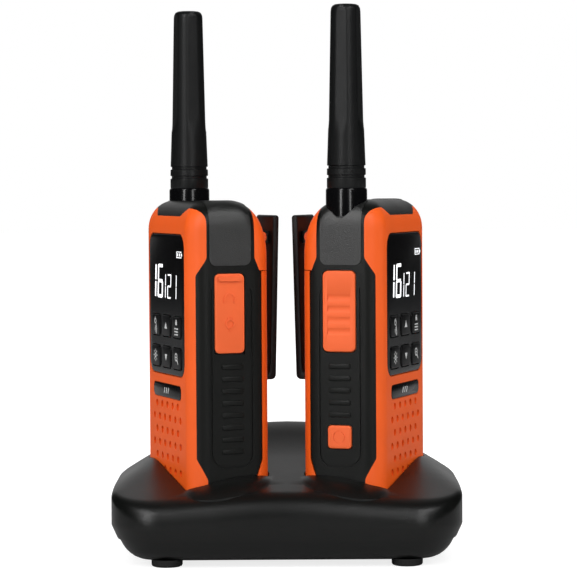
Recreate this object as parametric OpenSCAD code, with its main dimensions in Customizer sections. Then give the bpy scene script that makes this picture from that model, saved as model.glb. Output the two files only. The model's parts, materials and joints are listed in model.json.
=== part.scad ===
// Two handheld two way radios standing in their twin charging dock.
// Each radio is drawn in its own frame: front face towards -Y, belt clip towards +Y,
// push-to-talk side towards -X and accessory side towards +X. place() stands it in the dock.

/* [Radio body] */
// Width of one radio
body_w = 57; // [56:0.5:60]
// Depth of one radio, front face to back face
body_d = 31; // [30:0.5:33]
// Height of the top of the case above the table
body_top = 130.5; // [128:0.5:136]
// Height of the underside of the radio in the dock
body_bottom = 14; // [13.5:0.1:14.5]
// Wall thickness of the case
wall = 2; // [1.8:0.1:2.2]
// Radius of the upright corners of the case
corner_r = 7; // [6:0.5:8]

/* [Front] */
// Width of the display window
window_w = 42.8; // [42:0.2:43.6]
// Height of the top edge of the window
window_top = 118.5; // [118:0.5:120]
// Height of the bottom edge of the window
window_bottom = 67; // [66:0.5:67.5]
// Distance between key columns
key_pitch = 13; // [12.6:0.1:13.4]
// Width of a key
key_w = 10.6; // [9:0.2:11]
// Height of a key
key_h = 7.6; // [6:0.2:8]
// Travel of a key
key_travel = 0.6; // [0.3:0.1:0.7]
// Diameter of a speaker hole
grille_d = 2.6; // [2:0.1:3]

/* [Sides] */
// Travel of the push-to-talk bar
ptt_travel = 1; // [0.5:0.1:1.2]
// Height of a grip ridge above the side
ridge_rise = 0.5; // [0.3:0.1:0.7]
// Distance between grip ridges
ridge_pitch = 4.35; // [4:0.05:4.6]
// Diameter of the headset jack
jack_d = 3.5; // [3.5:0.1:3.6]

/* [Antenna] */
// Height of the antenna tip above the table
antenna_top = 201; // [190:1:210]
// Radius of the gloss collar at the foot of the antenna
collar_r = 7.5; // [7:0.1:7.6]
// Sideways place of the antenna axis
antenna_x = -20.5; // [-20.5:0.1:-19.5]

/* [Belt clip] */
// Width of the belt clip
clip_w = 19; // [17:0.5:20]
// Radius of the clip's hinge pin
clip_pin_r = 1; // [0.8:0.1:1.2]

/* [Dock] */
// Width of the dock
dock_w = 126.5; // [124:0.5:130]
// Depth of the dock
dock_d = 84; // [82:0.5:88]
// Distance of each radio from the middle of the dock
radio_x = 29; // [28.5:0.1:30]
// Angle that each radio is turned outwards
radio_turn = 70.5; // [69:0.5:72]
// Free space round a radio in its well
well_gap = 0.5; // [0.4:0.1:0.7]

/* [Hidden] */
$fn = 48;
eps = 0.01;
gap = 0.3;
half_w = body_w / 2;
half_d = body_d / 2;
front = -half_d;

// Rounding of the case top: radius sideways, radius upwards
front_round = [8, 11];
rear_round = [12, 20];
shoulder_round = [7, 9];
foot_round = [2, 2];

// The dark band round the sides: its two edges, front and rear, on each level
band_front = [-9.15, -12.9];
band_rear = [8.9, 11.5];
band_levels = [30.7, 38, 104, 110];
cap_edge = 125;
ear_top = 128;
cap_half = [14, 20];
seam_z = 105.5;

window_t = 1.2;
window_y = front + window_t;
keypad_z = [84.8, 73.4];
plate_size = [33.6, 5, 0.8];
plate_z = 61;
grille_rows = 6;
grille_pitch = [6.4, 4.77];
grille_top = 55.8;

ptt_box = [-5.8, 6.4, 76.2, 105.3];
alarm_box = [-4.1, 4.7, 41.4, 49.7];
cover_box = [-6.2, 4.9, 75.9, 104.5];
cover_t = 1.5;
cover_swing = 2.2;
cover_floor = half_w - 1.1;
cover_hinge = [cover_floor + 0.1 + cover_t / 2, cover_box[2] + cover_t / 2];
button_rise = 0.8;
ridge_top = 71;
jack_y = -2.3;
jack_z = 94;
jack_depth = 12;
port_z = 83.5;

collar_top = 135;
collar_foot = 117;
board_y = -6.2;
speaker_z = 42;
tray_y = 0.5;
battery_y = [2.4, 12.8];

clip_pin = [18.6, 117];
clip_t = 2.3;
clip_reach = [25, 23.5];
clip_ends = [125, 64.6];
lug_x = [5.5, 7.5];

seam = 9.6;
base_z = 2.3;
dock_wall = 2.2;
dock_corner = 18;
dock_front_top = 21;
dock_back_top = 47;
dock_end_top = 27.3;
// The upper shell draws in below this height, on its way down to the seam
dock_waist = 14.6;
waist_in = [2.4, 0.8];
well_floor = body_bottom - gap;
door_travel = 6;
foot_x = 43;
foot_y = 31;
screw_spots = [[-45.5, -20], [45.5, -20], [-12, 29], [12, 29]];
cheek_centre = [25.5, -1, 16.4];
cheek_r = 16;
contact_x = 6;
contact_y = -4;

orange = "#f5641e";
deep_orange = "#f4713d";
satin_black = "#25272a";
gloss_black = "#0b0c0d";

side_names = ["left", "right"];
key_names = ["call_key", "up_key", "menu_key", "lamp_key", "down_key", "scan_key"];
radio_parts = concat(
    ["front_case", "rear_case", "battery_door", "side_frame", "display_window", "lcd_module",
     "main_board", "speaker", "ptt_button", "alarm_button", "jack_cover", "headset_jack",
     "name_plate", "antenna_whip", "antenna_collar", "belt_clip", "clip_pin", "battery_pack",
     "charge_contacts", "case_screws"],
    key_names);
dock_parts = ["dock_top_shell", "dock_base", "dock_feet", "dock_contact_pins", "dock_board",
              "dock_screws", "dock_power_socket"];

// ---- helpers ----

// Points of a quarter ellipse about a centre, from one angle to another
function bend(centre, radii, from, to, steps = 6) =
    [for (i = [0:steps]) let (a = from + (to - from) * i / steps)
        [centre[0] + radii[0] * cos(a), centre[1] + radii[1] * sin(a)]];

module rounded_square(size, r) {
    square([size[0] - 2 * r, size[1]], center = true);
    square([size[0], size[1] - 2 * r], center = true);
    for (sx = [-1, 1]) for (sy = [-1, 1])
        translate([sx * (size[0] / 2 - r), sy * (size[1] / 2 - r)]) circle(r);
}

// Extrudes a front view (x, z) through a range of depths
module through_depth(y0, y1) {
    translate([0, y1, 0]) rotate([90, 0, 0]) linear_extrude(y1 - y0) children();
}

// Extrudes a side view (y, z) through a range of widths
module through_width(x0, x1) {
    translate([x0, 0, 0]) rotate([90, 0, 90]) linear_extrude(x1 - x0) children();
}

module place(side) {
    turn = side == "left" ? -radio_turn : radio_turn;
    shift = side == "left" ? -radio_x : radio_x;
    translate([shift, 0, 0]) rotate([0, 0, turn]) children();
}

// ---- radio form ----

// Side view of the case, drawn inwards by inset
function side_outline(inset) = concat(
    bend([front + foot_round[0], body_bottom + foot_round[1]],
         [foot_round[0] - inset + eps, foot_round[1] - inset + eps], 270, 180, 3),
    bend([front + front_round[0], body_top - front_round[1]],
         [front_round[0] - inset, front_round[1] - inset], 180, 90),
    bend([half_d - rear_round[0], body_top - rear_round[1]],
         [rear_round[0] - inset, rear_round[1] - inset], 90, 0),
    bend([half_d - foot_round[0], body_bottom + foot_round[1]],
         [foot_round[0] - inset + eps, foot_round[1] - inset + eps], 0, -90, 3));

// Front view of the case, drawn inwards by inset
function front_outline(inset) = concat(
    [[-half_w + inset, body_bottom + inset]],
    bend([-half_w + shoulder_round[0], body_top - shoulder_round[1]],
         [shoulder_round[0] - inset, shoulder_round[1] - inset], 180, 90),
    bend([half_w - shoulder_round[0], body_top - shoulder_round[1]],
         [shoulder_round[0] - inset, shoulder_round[1] - inset], 90, 0),
    [[half_w - inset, body_bottom + inset]]);

module body_form(inset = 0) {
    intersection() {
        translate([0, 0, body_bottom]) linear_extrude(body_top)
            rounded_square([body_w - 2 * inset, body_d - 2 * inset], corner_r - inset);
        through_width(-half_w - 1, half_w + 1) polygon(side_outline(inset));
        through_depth(-half_d - 1, half_d + 1) polygon(front_outline(inset));
    }
}

module case_shell() {
    difference() {
        body_form();
        body_form(wall);
    }
}

// Side view of what lies before the dark band, from its front edge forwards
module front_zone() {
    polygon([[-half_d - 2, 0], [band_front[0], 0], [band_front[0], band_levels[0]],
             [band_front[1], band_levels[1]], [band_front[1], band_levels[2]],
             [band_front[0], band_levels[3]], [band_front[0], body_top + 2],
             [-half_d - 2, body_top + 2]]);
}

// Side view of what lies behind the dark band; back moves its edge rearwards
module rear_zone(back = 0) {
    polygon([[half_d + 2, 0], [band_rear[0] + back, 0], [band_rear[0] + back, band_levels[0] - back],
             [band_rear[1] + back, band_levels[1] - back], [band_rear[1] + back, band_levels[2]],
             [band_rear[0] + back, band_levels[3]], [band_rear[0] + back, body_top + 2],
             [half_d + 2, body_top + 2]]);
}

// Front view of the top cap, which dips between the two ears of the front case
module cap_zone() {
    polygon([[-cap_half[0], cap_edge], [cap_half[0], cap_edge], [cap_half[1], ear_top],
             [half_w + 2, ear_top], [half_w + 2, body_top + 2], [-half_w - 2, body_top + 2],
             [-half_w - 2, ear_top], [-cap_half[1], ear_top]]);
}

module window_outline(grow = 0) {
    middle = (window_top + window_bottom) / 2;
    translate([0, middle])
        rounded_square([window_w + 2 * grow, window_top - window_bottom + 2 * grow], 5 + grow);
}

module key_outline(index, grow = 0) {
    translate([key_pitch * (index % 3 - 1), keypad_z[floor(index / 3)]])
        rounded_square([key_w + 2 * grow, key_h + 2 * grow], 1.6 + grow);
}

// A side opening or block: outline (y, z) from a box [y0, y1, z0, z1]
module box_outline(box, r, grow = 0) {
    translate([(box[0] + box[1]) / 2, (box[2] + box[3]) / 2])
        rounded_square([box[1] - box[0] + 2 * grow, box[3] - box[2] + 2 * grow], r + grow);
}

module grille_holes() {
    for (row = [0:grille_rows - 1]) {
        count = 5 + row % 2;
        for (i = [0:count - 1])
            translate([(i - (count - 1) / 2) * grille_pitch[0], 0, grille_top - row * grille_pitch[1]])
                rotate([90, 0, 0]) cylinder(d = grille_d, h = half_d + 2);
    }
}

// ---- radio sub-parts ----

module front_case() {
    color(orange) difference() {
        intersection() {
            case_shell();
            through_width(-half_w - 1, half_w + 1) front_zone();
        }
        through_depth(-half_d - 1, 0) cap_zone();
        through_depth(front - 1, window_y) window_outline();
        through_depth(front - 1, 0) translate([0, (68.6 + 116.5) / 2])
            square([38, 116.5 - 68.6], center = true);
        through_depth(front - 1, front + plate_size[2] - 0.1) translate([0, plate_z])
            rounded_square([plate_size[0], plate_size[1]], 1.8);
        grille_holes();
    }
}

module side_frame() {
    color(satin_black) difference() {
        union() {
            intersection() {
                case_shell();
                union() {
                    difference() {
                        translate([-half_w - 1, -half_d - 1, 0]) cube([body_w + 2, body_d + 2, body_top + 2]);
                        through_width(-half_w - 2, half_w + 2) front_zone();
                        through_width(-half_w - 2, half_w + 2) rear_zone();
                    }
                    intersection() {
                        through_width(-half_w - 1, half_w + 1) front_zone();
                        through_depth(-half_d - 2, 0) cap_zone();
                    }
                }
            }
            side_ridges();
            // land under the accessory cover, and the ring that carries the antenna
            through_width(cover_floor - 1.4, cover_floor) box_outline(cover_box, 1.6, 1.4);
            intersection() {
                body_form(wall / 2);
                translate([antenna_x, 0, collar_foot - 2]) cylinder(r = collar_r + 1, h = 20);
            }
        }
        through_width(-half_w - 3, 0) box_outline(ptt_box, 2, gap);
        through_width(-half_w - 3, 0) box_outline(alarm_box, 1.2, gap);
        through_width(cover_floor, half_w + 3) box_outline(cover_box, 1.6, gap);
        // square lower corners, so that the cover can swing down past them
        translate([cover_floor, cover_box[0] - gap, cover_box[2] - gap])
            cube([5, cover_box[1] - cover_box[0] + 2 * gap, cover_swing]);
        translate([0, jack_y, jack_z]) rotate([0, 90, 0]) cylinder(r = 2.5, h = half_w);
        translate([10, -4.2, port_z - 1.7]) cube([20, 8.4, 3.4]);
        translate([antenna_x, 0, collar_foot]) cylinder(r = collar_r, h = 40);
        translate([antenna_x, 0, 100]) cylinder(r = 3, h = 20);
        for (sx = [-1, 1]) translate([sx * contact_x, contact_y, body_bottom - 1]) cylinder(r = 2, h = 4);
    }
}

// Grip ridges: eight below the accessory cover, five below the push-to-talk bar
module side_ridges() {
    for (side = [-1, 1]) for (i = [0:(side > 0 ? 7 : 4)])
        translate([side * (half_w - 0.5), 0.3, ridge_top - i * ridge_pitch])
            cube([1 + 2 * ridge_rise, 8.2, 1.9], center = true);
}

module rear_case() {
    color(orange) difference() {
        union() {
            intersection() {
                case_shell();
                through_width(-half_w - 1, half_w + 1) rear_zone();
                translate([-half_w - 1, 0, seam_z]) cube([body_w + 2, body_d, body_top]);
            }
            // lugs that hold the clip's pin
            for (sx = [-1, 1]) intersection() {
                translate([sx > 0 ? lug_x[0] : -lug_x[1], 0, 0])
                    rotate([90, 0, 90]) linear_extrude(lug_x[1] - lug_x[0])
                        union() {
                            translate(clip_pin) circle(2.2);
                            translate([clip_pin[0] - 6.6, clip_pin[1] - 2.2]) square([6.6, 4.4]);
                        }
                translate([-half_w, 13.2, 0]) cube([body_w, body_d, body_top]);
            }
            // inner tray behind the board, joined to the upper wall by a shelf
            translate([-24, tray_y, 17]) cube([43, 1.5, 91]);
            translate([-20, tray_y, seam_z + 0.6]) cube([40, 14, 1.8]);
        }
        translate([-half_w, clip_pin[0], clip_pin[1]]) rotate([0, 90, 0])
            cylinder(r = clip_pin_r, h = body_w);
        for (sx = [-1, 1]) {
            translate([sx * 17, half_d + 1, 112]) rotate([90, 0, 0]) cylinder(r = 1.2, h = 16);
            translate([sx * 17, half_d + 1, 112]) rotate([90, 0, 0]) cylinder(r = 2.2, h = 2.6);
            translate([sx * 17, tray_y + 3, 22]) rotate([90, 0, 0]) cylinder(r = 1.2, h = 6);
        }
    }
}

module battery_door() {
    color(orange) intersection() {
        case_shell();
        through_width(-half_w - 1, half_w + 1) rear_zone(gap);
        translate([-half_w - 1, 0, 0]) cube([body_w + 2, body_d, seam_z - gap]);
        union() {
            translate([-half_w - 1, band_rear[1] + gap, 0]) cube([body_w + 2, body_d, seam_z]);
            translate([-half_w - 1, 0, 0]) cube([body_w + 2, body_d, band_levels[1]]);
        }
    }
}

module display_window() {
    color(gloss_black) difference() {
        through_depth(front, window_y) window_outline(-0.02);
        for (i = [0:5]) through_depth(front - 1, window_y + 1) key_outline(i, gap);
    }
}

module lcd_module() {
    color("#c9ccc8") translate([-17.5, window_y, 92]) cube([35, 2.6, 23.5]);
}

module key(index) {
    color("#17191b") {
        through_depth(front - 0.4, window_y + 0.3 + eps) key_outline(index);
        through_depth(window_y + 0.3, window_y + 1.3) key_outline(index, 0.7);
    }
}

module main_board() {
    color("#1f6b3a") difference() {
        translate([-22, board_y, 18]) cube([44, 1.2, 94]);
        for (sx = [-1, 1])
            translate([sx * 17, board_y + 3, 22]) rotate([90, 0, 0]) cylinder(r = 1.5, h = 6);
    }
}

module speaker() {
    color("#3b3d40") translate([0, board_y - 0.4, speaker_z]) rotate([90, 0, 0]) {
        cylinder(r = 17, h = 2);
        translate([0, 0, 2]) cylinder(r = 16, h = 4.6);
    }
}

module side_button(box, r, depth) {
    through_width(-half_w - button_rise, -half_w + depth) box_outline(box, r);
    through_width(-half_w + wall + 0.35, -half_w + depth + eps) box_outline(box, r, 1);
}

module ptt_button() {
    color(deep_orange) difference() {
        side_button(ptt_box, 2, wall + 1.4);
        for (i = [0:3])
            translate([-half_w - button_rise, 0.3, 94.5 + i * 2.3])
                cube([0.5, 8.6, 0.7], center = true);
    }
}

module alarm_button() {
    color(deep_orange) side_button(alarm_box, 1.2, wall + 1.4);
}

module jack_cover() {
    color(deep_orange) {
        intersection() {
            through_width(cover_floor + 0.1, cover_floor + 0.1 + cover_t) box_outline(cover_box, 1.6);
            // the lower edge is a round bead on the hinge axis
            through_depth(cover_box[0] - 1, cover_box[1] + 1) union() {
                translate(cover_hinge) circle(r = cover_t / 2);
                translate([cover_hinge[0] - cover_t / 2, cover_hinge[1]])
                    square([cover_t, cover_box[3] - cover_hinge[1] + 1]);
            }
        }
        translate([cover_floor + cover_t - 0.1, cover_box[0] + 1.3, cover_box[3] - 2.6])
            cube([0.9, cover_box[1] - cover_box[0] - 2.6, 1.5]);
    }
}

module headset_jack() {
    back = cover_floor - 1.4;
    color("#6d7073") difference() {
        union() {
            translate([back - 11.2, -4.9, jack_z - 3.5]) cube([11.2, 5.1, 7]);
            translate([back - 2, -4.9, port_z - 3]) cube([2, 5.1, jack_z - port_z + 5]);
            translate([back - 6, -5, port_z - 3.2]) cube([6, 10, 6.4]);
            translate([back - 0.1, jack_y, jack_z]) rotate([0, 90, 0]) cylinder(r = 2.5, h = 1.5);
        }
        translate([cover_floor - jack_depth, jack_y, jack_z]) rotate([0, 90, 0])
            cylinder(d = jack_d, h = jack_depth + 1);
        translate([back - 5, -3.75, port_z - 1.25]) cube([8, 7.5, 2.5]);
    }
}

module name_plate() {
    color(gloss_black) through_depth(front - 0.1, front + plate_size[2] - 0.1)
        translate([0, plate_z]) rounded_square([plate_size[0] - 0.04, plate_size[1] - 0.04], 1.78);
}

module antenna_whip() {
    color("#1b1d1e") translate([antenna_x, 0, 0]) rotate_extrude()
        polygon([[0, collar_top], [7.06, collar_top], [7.06, 138.6], [6.6, 138.8], [6.6, 139.4],
                 [7.05, 139.6], [7.0, 141.9], [6.55, 142.1], [6.55, 142.7], [6.95, 142.9],
                 [6.5, 156], [6.35, 158], [5.5, antenna_top - 2.2], [4.9, antenna_top - 0.6],
                 [3.8, antenna_top], [0, antenna_top]]);
}

module antenna_collar() {
    color(gloss_black) translate([antenna_x, 0, 0]) rotate_extrude()
        polygon([[0, collar_foot - 6], [2.9, collar_foot - 6], [2.9, collar_foot], [collar_r, collar_foot],
                 [collar_r, collar_top - 0.6], [collar_r - 0.3, collar_top], [0, collar_top]]);
}

module belt_clip() {
    top = clip_ends[0];
    low = clip_ends[1];
    color(satin_black) difference() {
        union() {
            through_width(-clip_w / 2, clip_w / 2)
                polygon([[clip_reach[0] - clip_t, top - 1.5], [clip_reach[0] - 1.5, top],
                         [clip_reach[0], top - 1.5], [clip_reach[1] + 0.2, low + 6],
                         [clip_reach[1] - 1.5, low], [clip_reach[1] - 4.6, low],
                         [clip_reach[1] - 5, low + 1.6], [clip_reach[1] - clip_t, low + 8]]);
            through_width(-lug_x[0] + gap, lug_x[0] - gap) union() {
                translate(clip_pin) circle(2.3);
                translate([clip_pin[0], clip_pin[1] - 2.2]) square([clip_reach[0] - clip_t - clip_pin[0] + 0.5, 4.4]);
            }
        }
        translate([-half_w, clip_pin[0], clip_pin[1]]) rotate([0, 90, 0])
            cylinder(r = clip_pin_r + 0.06, h = body_w);
    }
}

module hinge_pin() {
    color("silver") translate([-lug_x[1], clip_pin[0], clip_pin[1]]) rotate([0, 90, 0])
        cylinder(r = clip_pin_r, h = 2 * lug_x[1]);
}

module battery_pack() {
    color("#8a8f94") translate([-23, battery_y[0], 28]) cube([42, battery_y[1] - battery_y[0], 72]);
}

module charge_contacts() {
    color("gold") for (sx = [-1, 1])
        translate([sx * contact_x, contact_y, body_bottom]) cylinder(r = 2, h = 3);
}

module case_screws() {
    color("silver") for (sx = [-1, 1]) {
        translate([sx * 17, 0, 112]) rotate([-90, 0, 0]) {
            translate([0, 0, 3]) cylinder(r = 1.2, h = 11.2);
            translate([0, 0, 13.9]) cylinder(r = 2.2, h = 0.9);
        }
        translate([sx * 17, 0, 22]) rotate([-90, 0, 0]) {
            translate([0, 0, board_y]) cylinder(r = 1.2, h = tray_y + 1.5 - board_y);
            translate([0, 0, tray_y + 1.5]) cylinder(r = 2.2, h = 1.2);
        }
    }
}

module radio_part(part) {
    if (part == "front_case") front_case();
    if (part == "rear_case") rear_case();
    if (part == "battery_door") battery_door();
    if (part == "side_frame") side_frame();
    if (part == "display_window") display_window();
    if (part == "lcd_module") lcd_module();
    if (part == "main_board") main_board();
    if (part == "speaker") speaker();
    if (part == "ptt_button") ptt_button();
    if (part == "alarm_button") alarm_button();
    if (part == "jack_cover") jack_cover();
    if (part == "headset_jack") headset_jack();
    if (part == "name_plate") name_plate();
    if (part == "antenna_whip") antenna_whip();
    if (part == "antenna_collar") antenna_collar();
    if (part == "belt_clip") belt_clip();
    if (part == "clip_pin") hinge_pin();
    if (part == "battery_pack") battery_pack();
    if (part == "charge_contacts") charge_contacts();
    if (part == "case_screws") case_screws();
    for (i = [0:5]) if (part == key_names[i]) key(i);
}

// ---- dock ----

// Side view (y, z) of the dock above its seam, low at the front and high at the back
function dock_side(inset) = [
    [-dock_d / 2 + waist_in[1] + inset, seam - 1], [-dock_d / 2 + inset, dock_waist],
    [-dock_d / 2 + inset, dock_front_top - inset], [-dock_d / 2 + 1.6, dock_front_top + 3.4 - inset],
    [-37, 26.8 - inset], [-25, 28.1 - inset], [-11, 30.6 - inset], [0, 33.8 - inset],
    [12, 38.7 - inset], [24, dock_back_top - 1.8 - inset], [30, dock_back_top - inset],
    [35, dock_back_top - 2.5 - inset], [39.5, dock_back_top - 8.5 - inset],
    [dock_d / 2 - inset, dock_back_top - 17 - inset], [dock_d / 2 - inset, dock_waist],
    [dock_d / 2 - waist_in[1] - inset, seam - 1]];

// Front view (x, z) of the dock above its seam, with its falling ends
function dock_front(inset) = let (half = dock_w / 2 - inset) [
    [-half + waist_in[0], seam - 1], [-half, dock_waist], [-half, dock_end_top - inset],
    [-54, 33.4 - inset], [-40, 39.8 - inset], [-20, dock_back_top - 1.8 - inset],
    [0, dock_back_top + 0.5 - inset], [20, dock_back_top - 1.8 - inset], [40, 39.8 - inset],
    [54, 33.4 - inset], [half, dock_end_top - inset], [half, dock_waist],
    [half - waist_in[0], seam - 1]];

module dock_form(inset = 0) {
    intersection() {
        translate([0, 0, seam]) linear_extrude(60)
            rounded_square([dock_w - 2 * inset, dock_d - 2 * inset], dock_corner - inset);
        through_width(-dock_w, dock_w) polygon(dock_side(inset));
        through_depth(-dock_d, dock_d) polygon(dock_front(inset));
    }
}

module well_column(grow, z0, z1) {
    translate([0, 0, z0]) linear_extrude(z1 - z0)
        rounded_square([body_w + 2 * grow, body_d + 2 * grow], corner_r + grow);
}

// Slot under the battery door, so the door can slide down to unlatch
module door_slot(grow) {
    depth = door_travel + gap + grow;
    intersection() {
        well_column(well_gap + grow, body_bottom - depth, body_bottom + 1);
        translate([-half_w - 5, band_rear[0] - 0.2 - grow, 0]) cube([body_w + 10, half_d, 60]);
    }
}

// Raised cheek that meets the side of a radio
module cheek(side, r) {
    turn = side == "left" ? 1 : -1;
    intersection() {
        translate([turn * cheek_centre[0], cheek_centre[1], cheek_centre[2]]) sphere(r = r);
        translate([-60, -60, seam]) cube([120, 120, 60]);
    }
}

module dock_outer(inset = 0) {
    dock_form(inset);
    for (side = side_names) place(side) cheek(side, cheek_r - inset);
}

module dock_top_shell() {
    color("#1a1d1b") difference() {
        union() {
            difference() {
                dock_outer();
                translate([0, 0, -eps]) dock_outer(dock_wall);
            }
            intersection() {
                dock_outer();
                union() {
                    for (side = side_names) place(side)
                        well_column(well_gap + 1.8, well_floor - 2, 60);
                    for (spot = screw_spots) translate([spot[0], spot[1], seam]) cylinder(r = 3, h = 50);
                }
            }
            for (side = side_names) place(side) door_slot(1.2);
            for (spot = screw_spots) translate([spot[0], spot[1], 4.4]) cylinder(r = 3, h = 8);
        }
        for (side = side_names) place(side) {
            well_column(well_gap, well_floor, 80);
            door_slot(0);
            for (sx = [-1, 1]) translate([sx * contact_x, contact_y, 8]) cylinder(r = 1.1, h = 8);
        }
        for (spot = screw_spots) translate([spot[0], spot[1], 4]) cylinder(r = 1.2, h = 9);
        translate([-5.2, 30, 13.4]) cube([10.4, 20, 4.6]);
    }
}

// Lower shell of the dock: upright at the seam, drawn in towards the table
function base_side(inset) = let (half = dock_d / 2 - inset) [
    [-half + waist_in[1], seam], [-half + 1.9, 7 + inset / 2], [-half + 4.6, 3.9 + inset],
    [-half + 8, base_z + inset], [half - 8, base_z + inset], [half - 4.6, 3.9 + inset],
    [half - 1.9, 7 + inset / 2], [half - waist_in[1], seam]];

function base_front(inset) = let (half = dock_w / 2 - inset) [
    [-half + waist_in[0], seam], [-half + 4.2, 7.2 + inset / 2], [-half + 6.6, 4.2 + inset],
    [-half + 10.5, base_z + inset], [half - 10.5, base_z + inset], [half - 6.6, 4.2 + inset],
    [half - 4.2, 7.2 + inset / 2], [half - waist_in[0], seam]];

module base_form(inset = 0) {
    intersection() {
        linear_extrude(seam)
            rounded_square([dock_w - 2 * inset, dock_d - 2 * inset], dock_corner - inset);
        through_width(-dock_w, dock_w) polygon(base_side(inset));
        through_depth(-dock_d, dock_d) polygon(base_front(inset));
    }
}

module dock_base() {
    color("#151716") difference() {
        base_form();
        translate([0, 0, eps]) base_form(2);
        for (spot = screw_spots) translate([spot[0], spot[1], 0]) cylinder(r = 3.1, h = 30);
    }
}

module dock_feet() {
    color("#0d0e0e") for (sx = [-1, 1]) for (sy = [-1, 1])
        translate([sx * foot_x, sy * foot_y, 0]) rotate_extrude()
            polygon([[0, 0], [5, 0], [5.6, 0.6], [5.6, base_z], [0, base_z]]);
}

module dock_contact_pins() {
    color("gold") for (side = side_names) place(side) for (sx = [-1, 1])
        translate([sx * contact_x, contact_y, 6.2]) {
            cylinder(r = 1.1, h = 5.8);
            cylinder(r = 0.8, h = body_bottom - 0.12 - 6.2);
        }
}

module dock_board() {
    color("#1f6b3a") translate([-40, -12, 4.6]) cube([80, 24, 1.6]);
}

module dock_screws() {
    color("silver") for (spot = screw_spots) translate([spot[0], spot[1], 0]) {
        translate([0, 0, 2.9]) cylinder(r = 3, h = 1.5);
        translate([0, 0, 4.3]) cylinder(r = 1.2, h = 8);
    }
}

module dock_power_socket() {
    color("#8f9396") difference() {
        translate([-5.2, 32, 13.4]) cube([10.4, 9.4, 4.6]);
        translate([-4.5, 34, 14.1]) cube([9, 10, 3.2]);
    }
}

for (side = side_names) for (part = radio_parts)
    place(side) radio_part(part);
dock_top_shell();
dock_base();
dock_feet();
dock_contact_pins();
dock_board();
dock_screws();
dock_power_socket();
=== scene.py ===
"""Looks of a pair of handheld radios in their charging dock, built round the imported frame."""
import json
import math

import bmesh
import bpy
from bpy.props import FloatProperty, FloatVectorProperty
from mathutils import Matrix, Vector


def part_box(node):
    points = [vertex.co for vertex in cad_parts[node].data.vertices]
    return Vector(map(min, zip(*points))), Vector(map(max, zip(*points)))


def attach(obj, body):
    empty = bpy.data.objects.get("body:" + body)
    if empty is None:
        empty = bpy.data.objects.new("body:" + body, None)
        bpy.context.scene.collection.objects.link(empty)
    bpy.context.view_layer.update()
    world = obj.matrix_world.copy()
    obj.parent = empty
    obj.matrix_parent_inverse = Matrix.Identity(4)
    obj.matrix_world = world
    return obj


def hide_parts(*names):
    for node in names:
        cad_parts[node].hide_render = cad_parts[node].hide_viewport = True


bl_info = {
    "name": "Two Way Radio Set",
    "version": (1, 0, 0),
    "blender": (4, 5, 0),
    "location": "3D View > Sidebar > Radio",
    "description": "Builds the shells, controls, antennas and dock of a handheld radio set",
    "category": "Object",
}

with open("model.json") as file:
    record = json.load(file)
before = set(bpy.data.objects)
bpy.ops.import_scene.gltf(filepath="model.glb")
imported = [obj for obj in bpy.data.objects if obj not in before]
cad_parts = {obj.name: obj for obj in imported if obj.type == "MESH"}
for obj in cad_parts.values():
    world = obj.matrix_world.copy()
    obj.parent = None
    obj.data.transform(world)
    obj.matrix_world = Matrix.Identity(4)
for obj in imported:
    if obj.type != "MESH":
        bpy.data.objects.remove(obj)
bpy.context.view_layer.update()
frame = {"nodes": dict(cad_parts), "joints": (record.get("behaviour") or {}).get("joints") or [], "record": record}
MM = 0.001
SIDES = ("left", "right")
JOINTS = {joint["name"]: joint for joint in frame["joints"]}
MOUNTS = {mount["name"]: mount for mount in frame["record"]["mounts"]}


# ---------------------------------------------------------------- places taken from the frame

JACK_PLACE = (27.4, -2.3)


def radio_matrix(side):
    """Places a radio drawn in its own frame, front towards -Y, at its well in the dock."""
    across = Vector(JOINTS[f"{side}_ptt_press"]["axis"])
    depth = Vector(JOINTS[f"{side}_call_key_press"]["axis"])
    mouth = Vector(MOUNTS[f"{side}_headset_jack"]["pos_m"])
    centre = mouth - (across * JACK_PLACE[0] + depth * JACK_PLACE[1]) * MM
    turn = Matrix((across, depth, (0, 0, 1))).transposed().to_4x4()
    return Matrix.Translation((centre.x, centre.y, 0)) @ turn


RADIO = {side: radio_matrix(side) for side in SIDES}


def local_box(node, side="left"):
    """A CAD node's box in its radio's own frame, in millimetres."""
    inverse = RADIO[side].inverted()
    points = [inverse @ v.co / MM for v in frame["nodes"][f"{side}_{node}"].data.vertices]
    low = Vector([min(p[i] for p in points) for i in range(3)])
    high = Vector([max(p[i] for p in points) for i in range(3)])
    return low, high


CASE_HIGH = local_box("front_case")[1]
FRAME_LOW, FRAME_HIGH = local_box("side_frame")
DOOR_LOW, DOOR_HIGH = local_box("battery_door")
WINDOW_LOW, WINDOW_HIGH = local_box("display_window")
PTT_LOW, PTT_HIGH = local_box("ptt_button")
ALARM_LOW, ALARM_HIGH = local_box("alarm_button")
COVER_LOW, COVER_HIGH = local_box("jack_cover")
PLATE_LOW, PLATE_HIGH = local_box("name_plate")
WHIP_LOW, WHIP_HIGH = local_box("antenna_whip")
COLLAR_HIGH = local_box("antenna_collar")[1]
CLIP_LOW, CLIP_HIGH = local_box("belt_clip")
PIN_LOW, PIN_HIGH = local_box("clip_pin")
KEY_NAMES = ("call_key", "up_key", "menu_key", "lamp_key", "down_key", "scan_key")
KEY_BOXES = {name: local_box(name) for name in KEY_NAMES}
DOCK_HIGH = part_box("dock_top_shell")[1] / MM
BASE_LOW, BASE_HIGH = (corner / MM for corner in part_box("dock_base"))

HALF_W = CASE_HIGH.x
HALF_D = DOOR_HIGH.y
FOOT = FRAME_LOW.z
TOP = FRAME_HIGH.z
SEAM = BASE_HIGH.z
ANTENNA_X = (WHIP_LOW.x + WHIP_HIGH.x) / 2
PIN_Y, PIN_Z = (PIN_LOW.y + PIN_HIGH.y) / 2, (PIN_LOW.z + PIN_HIGH.z) / 2
BUTTON_RISE = 0.8


# ---------------------------------------------------------------- properties

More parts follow.
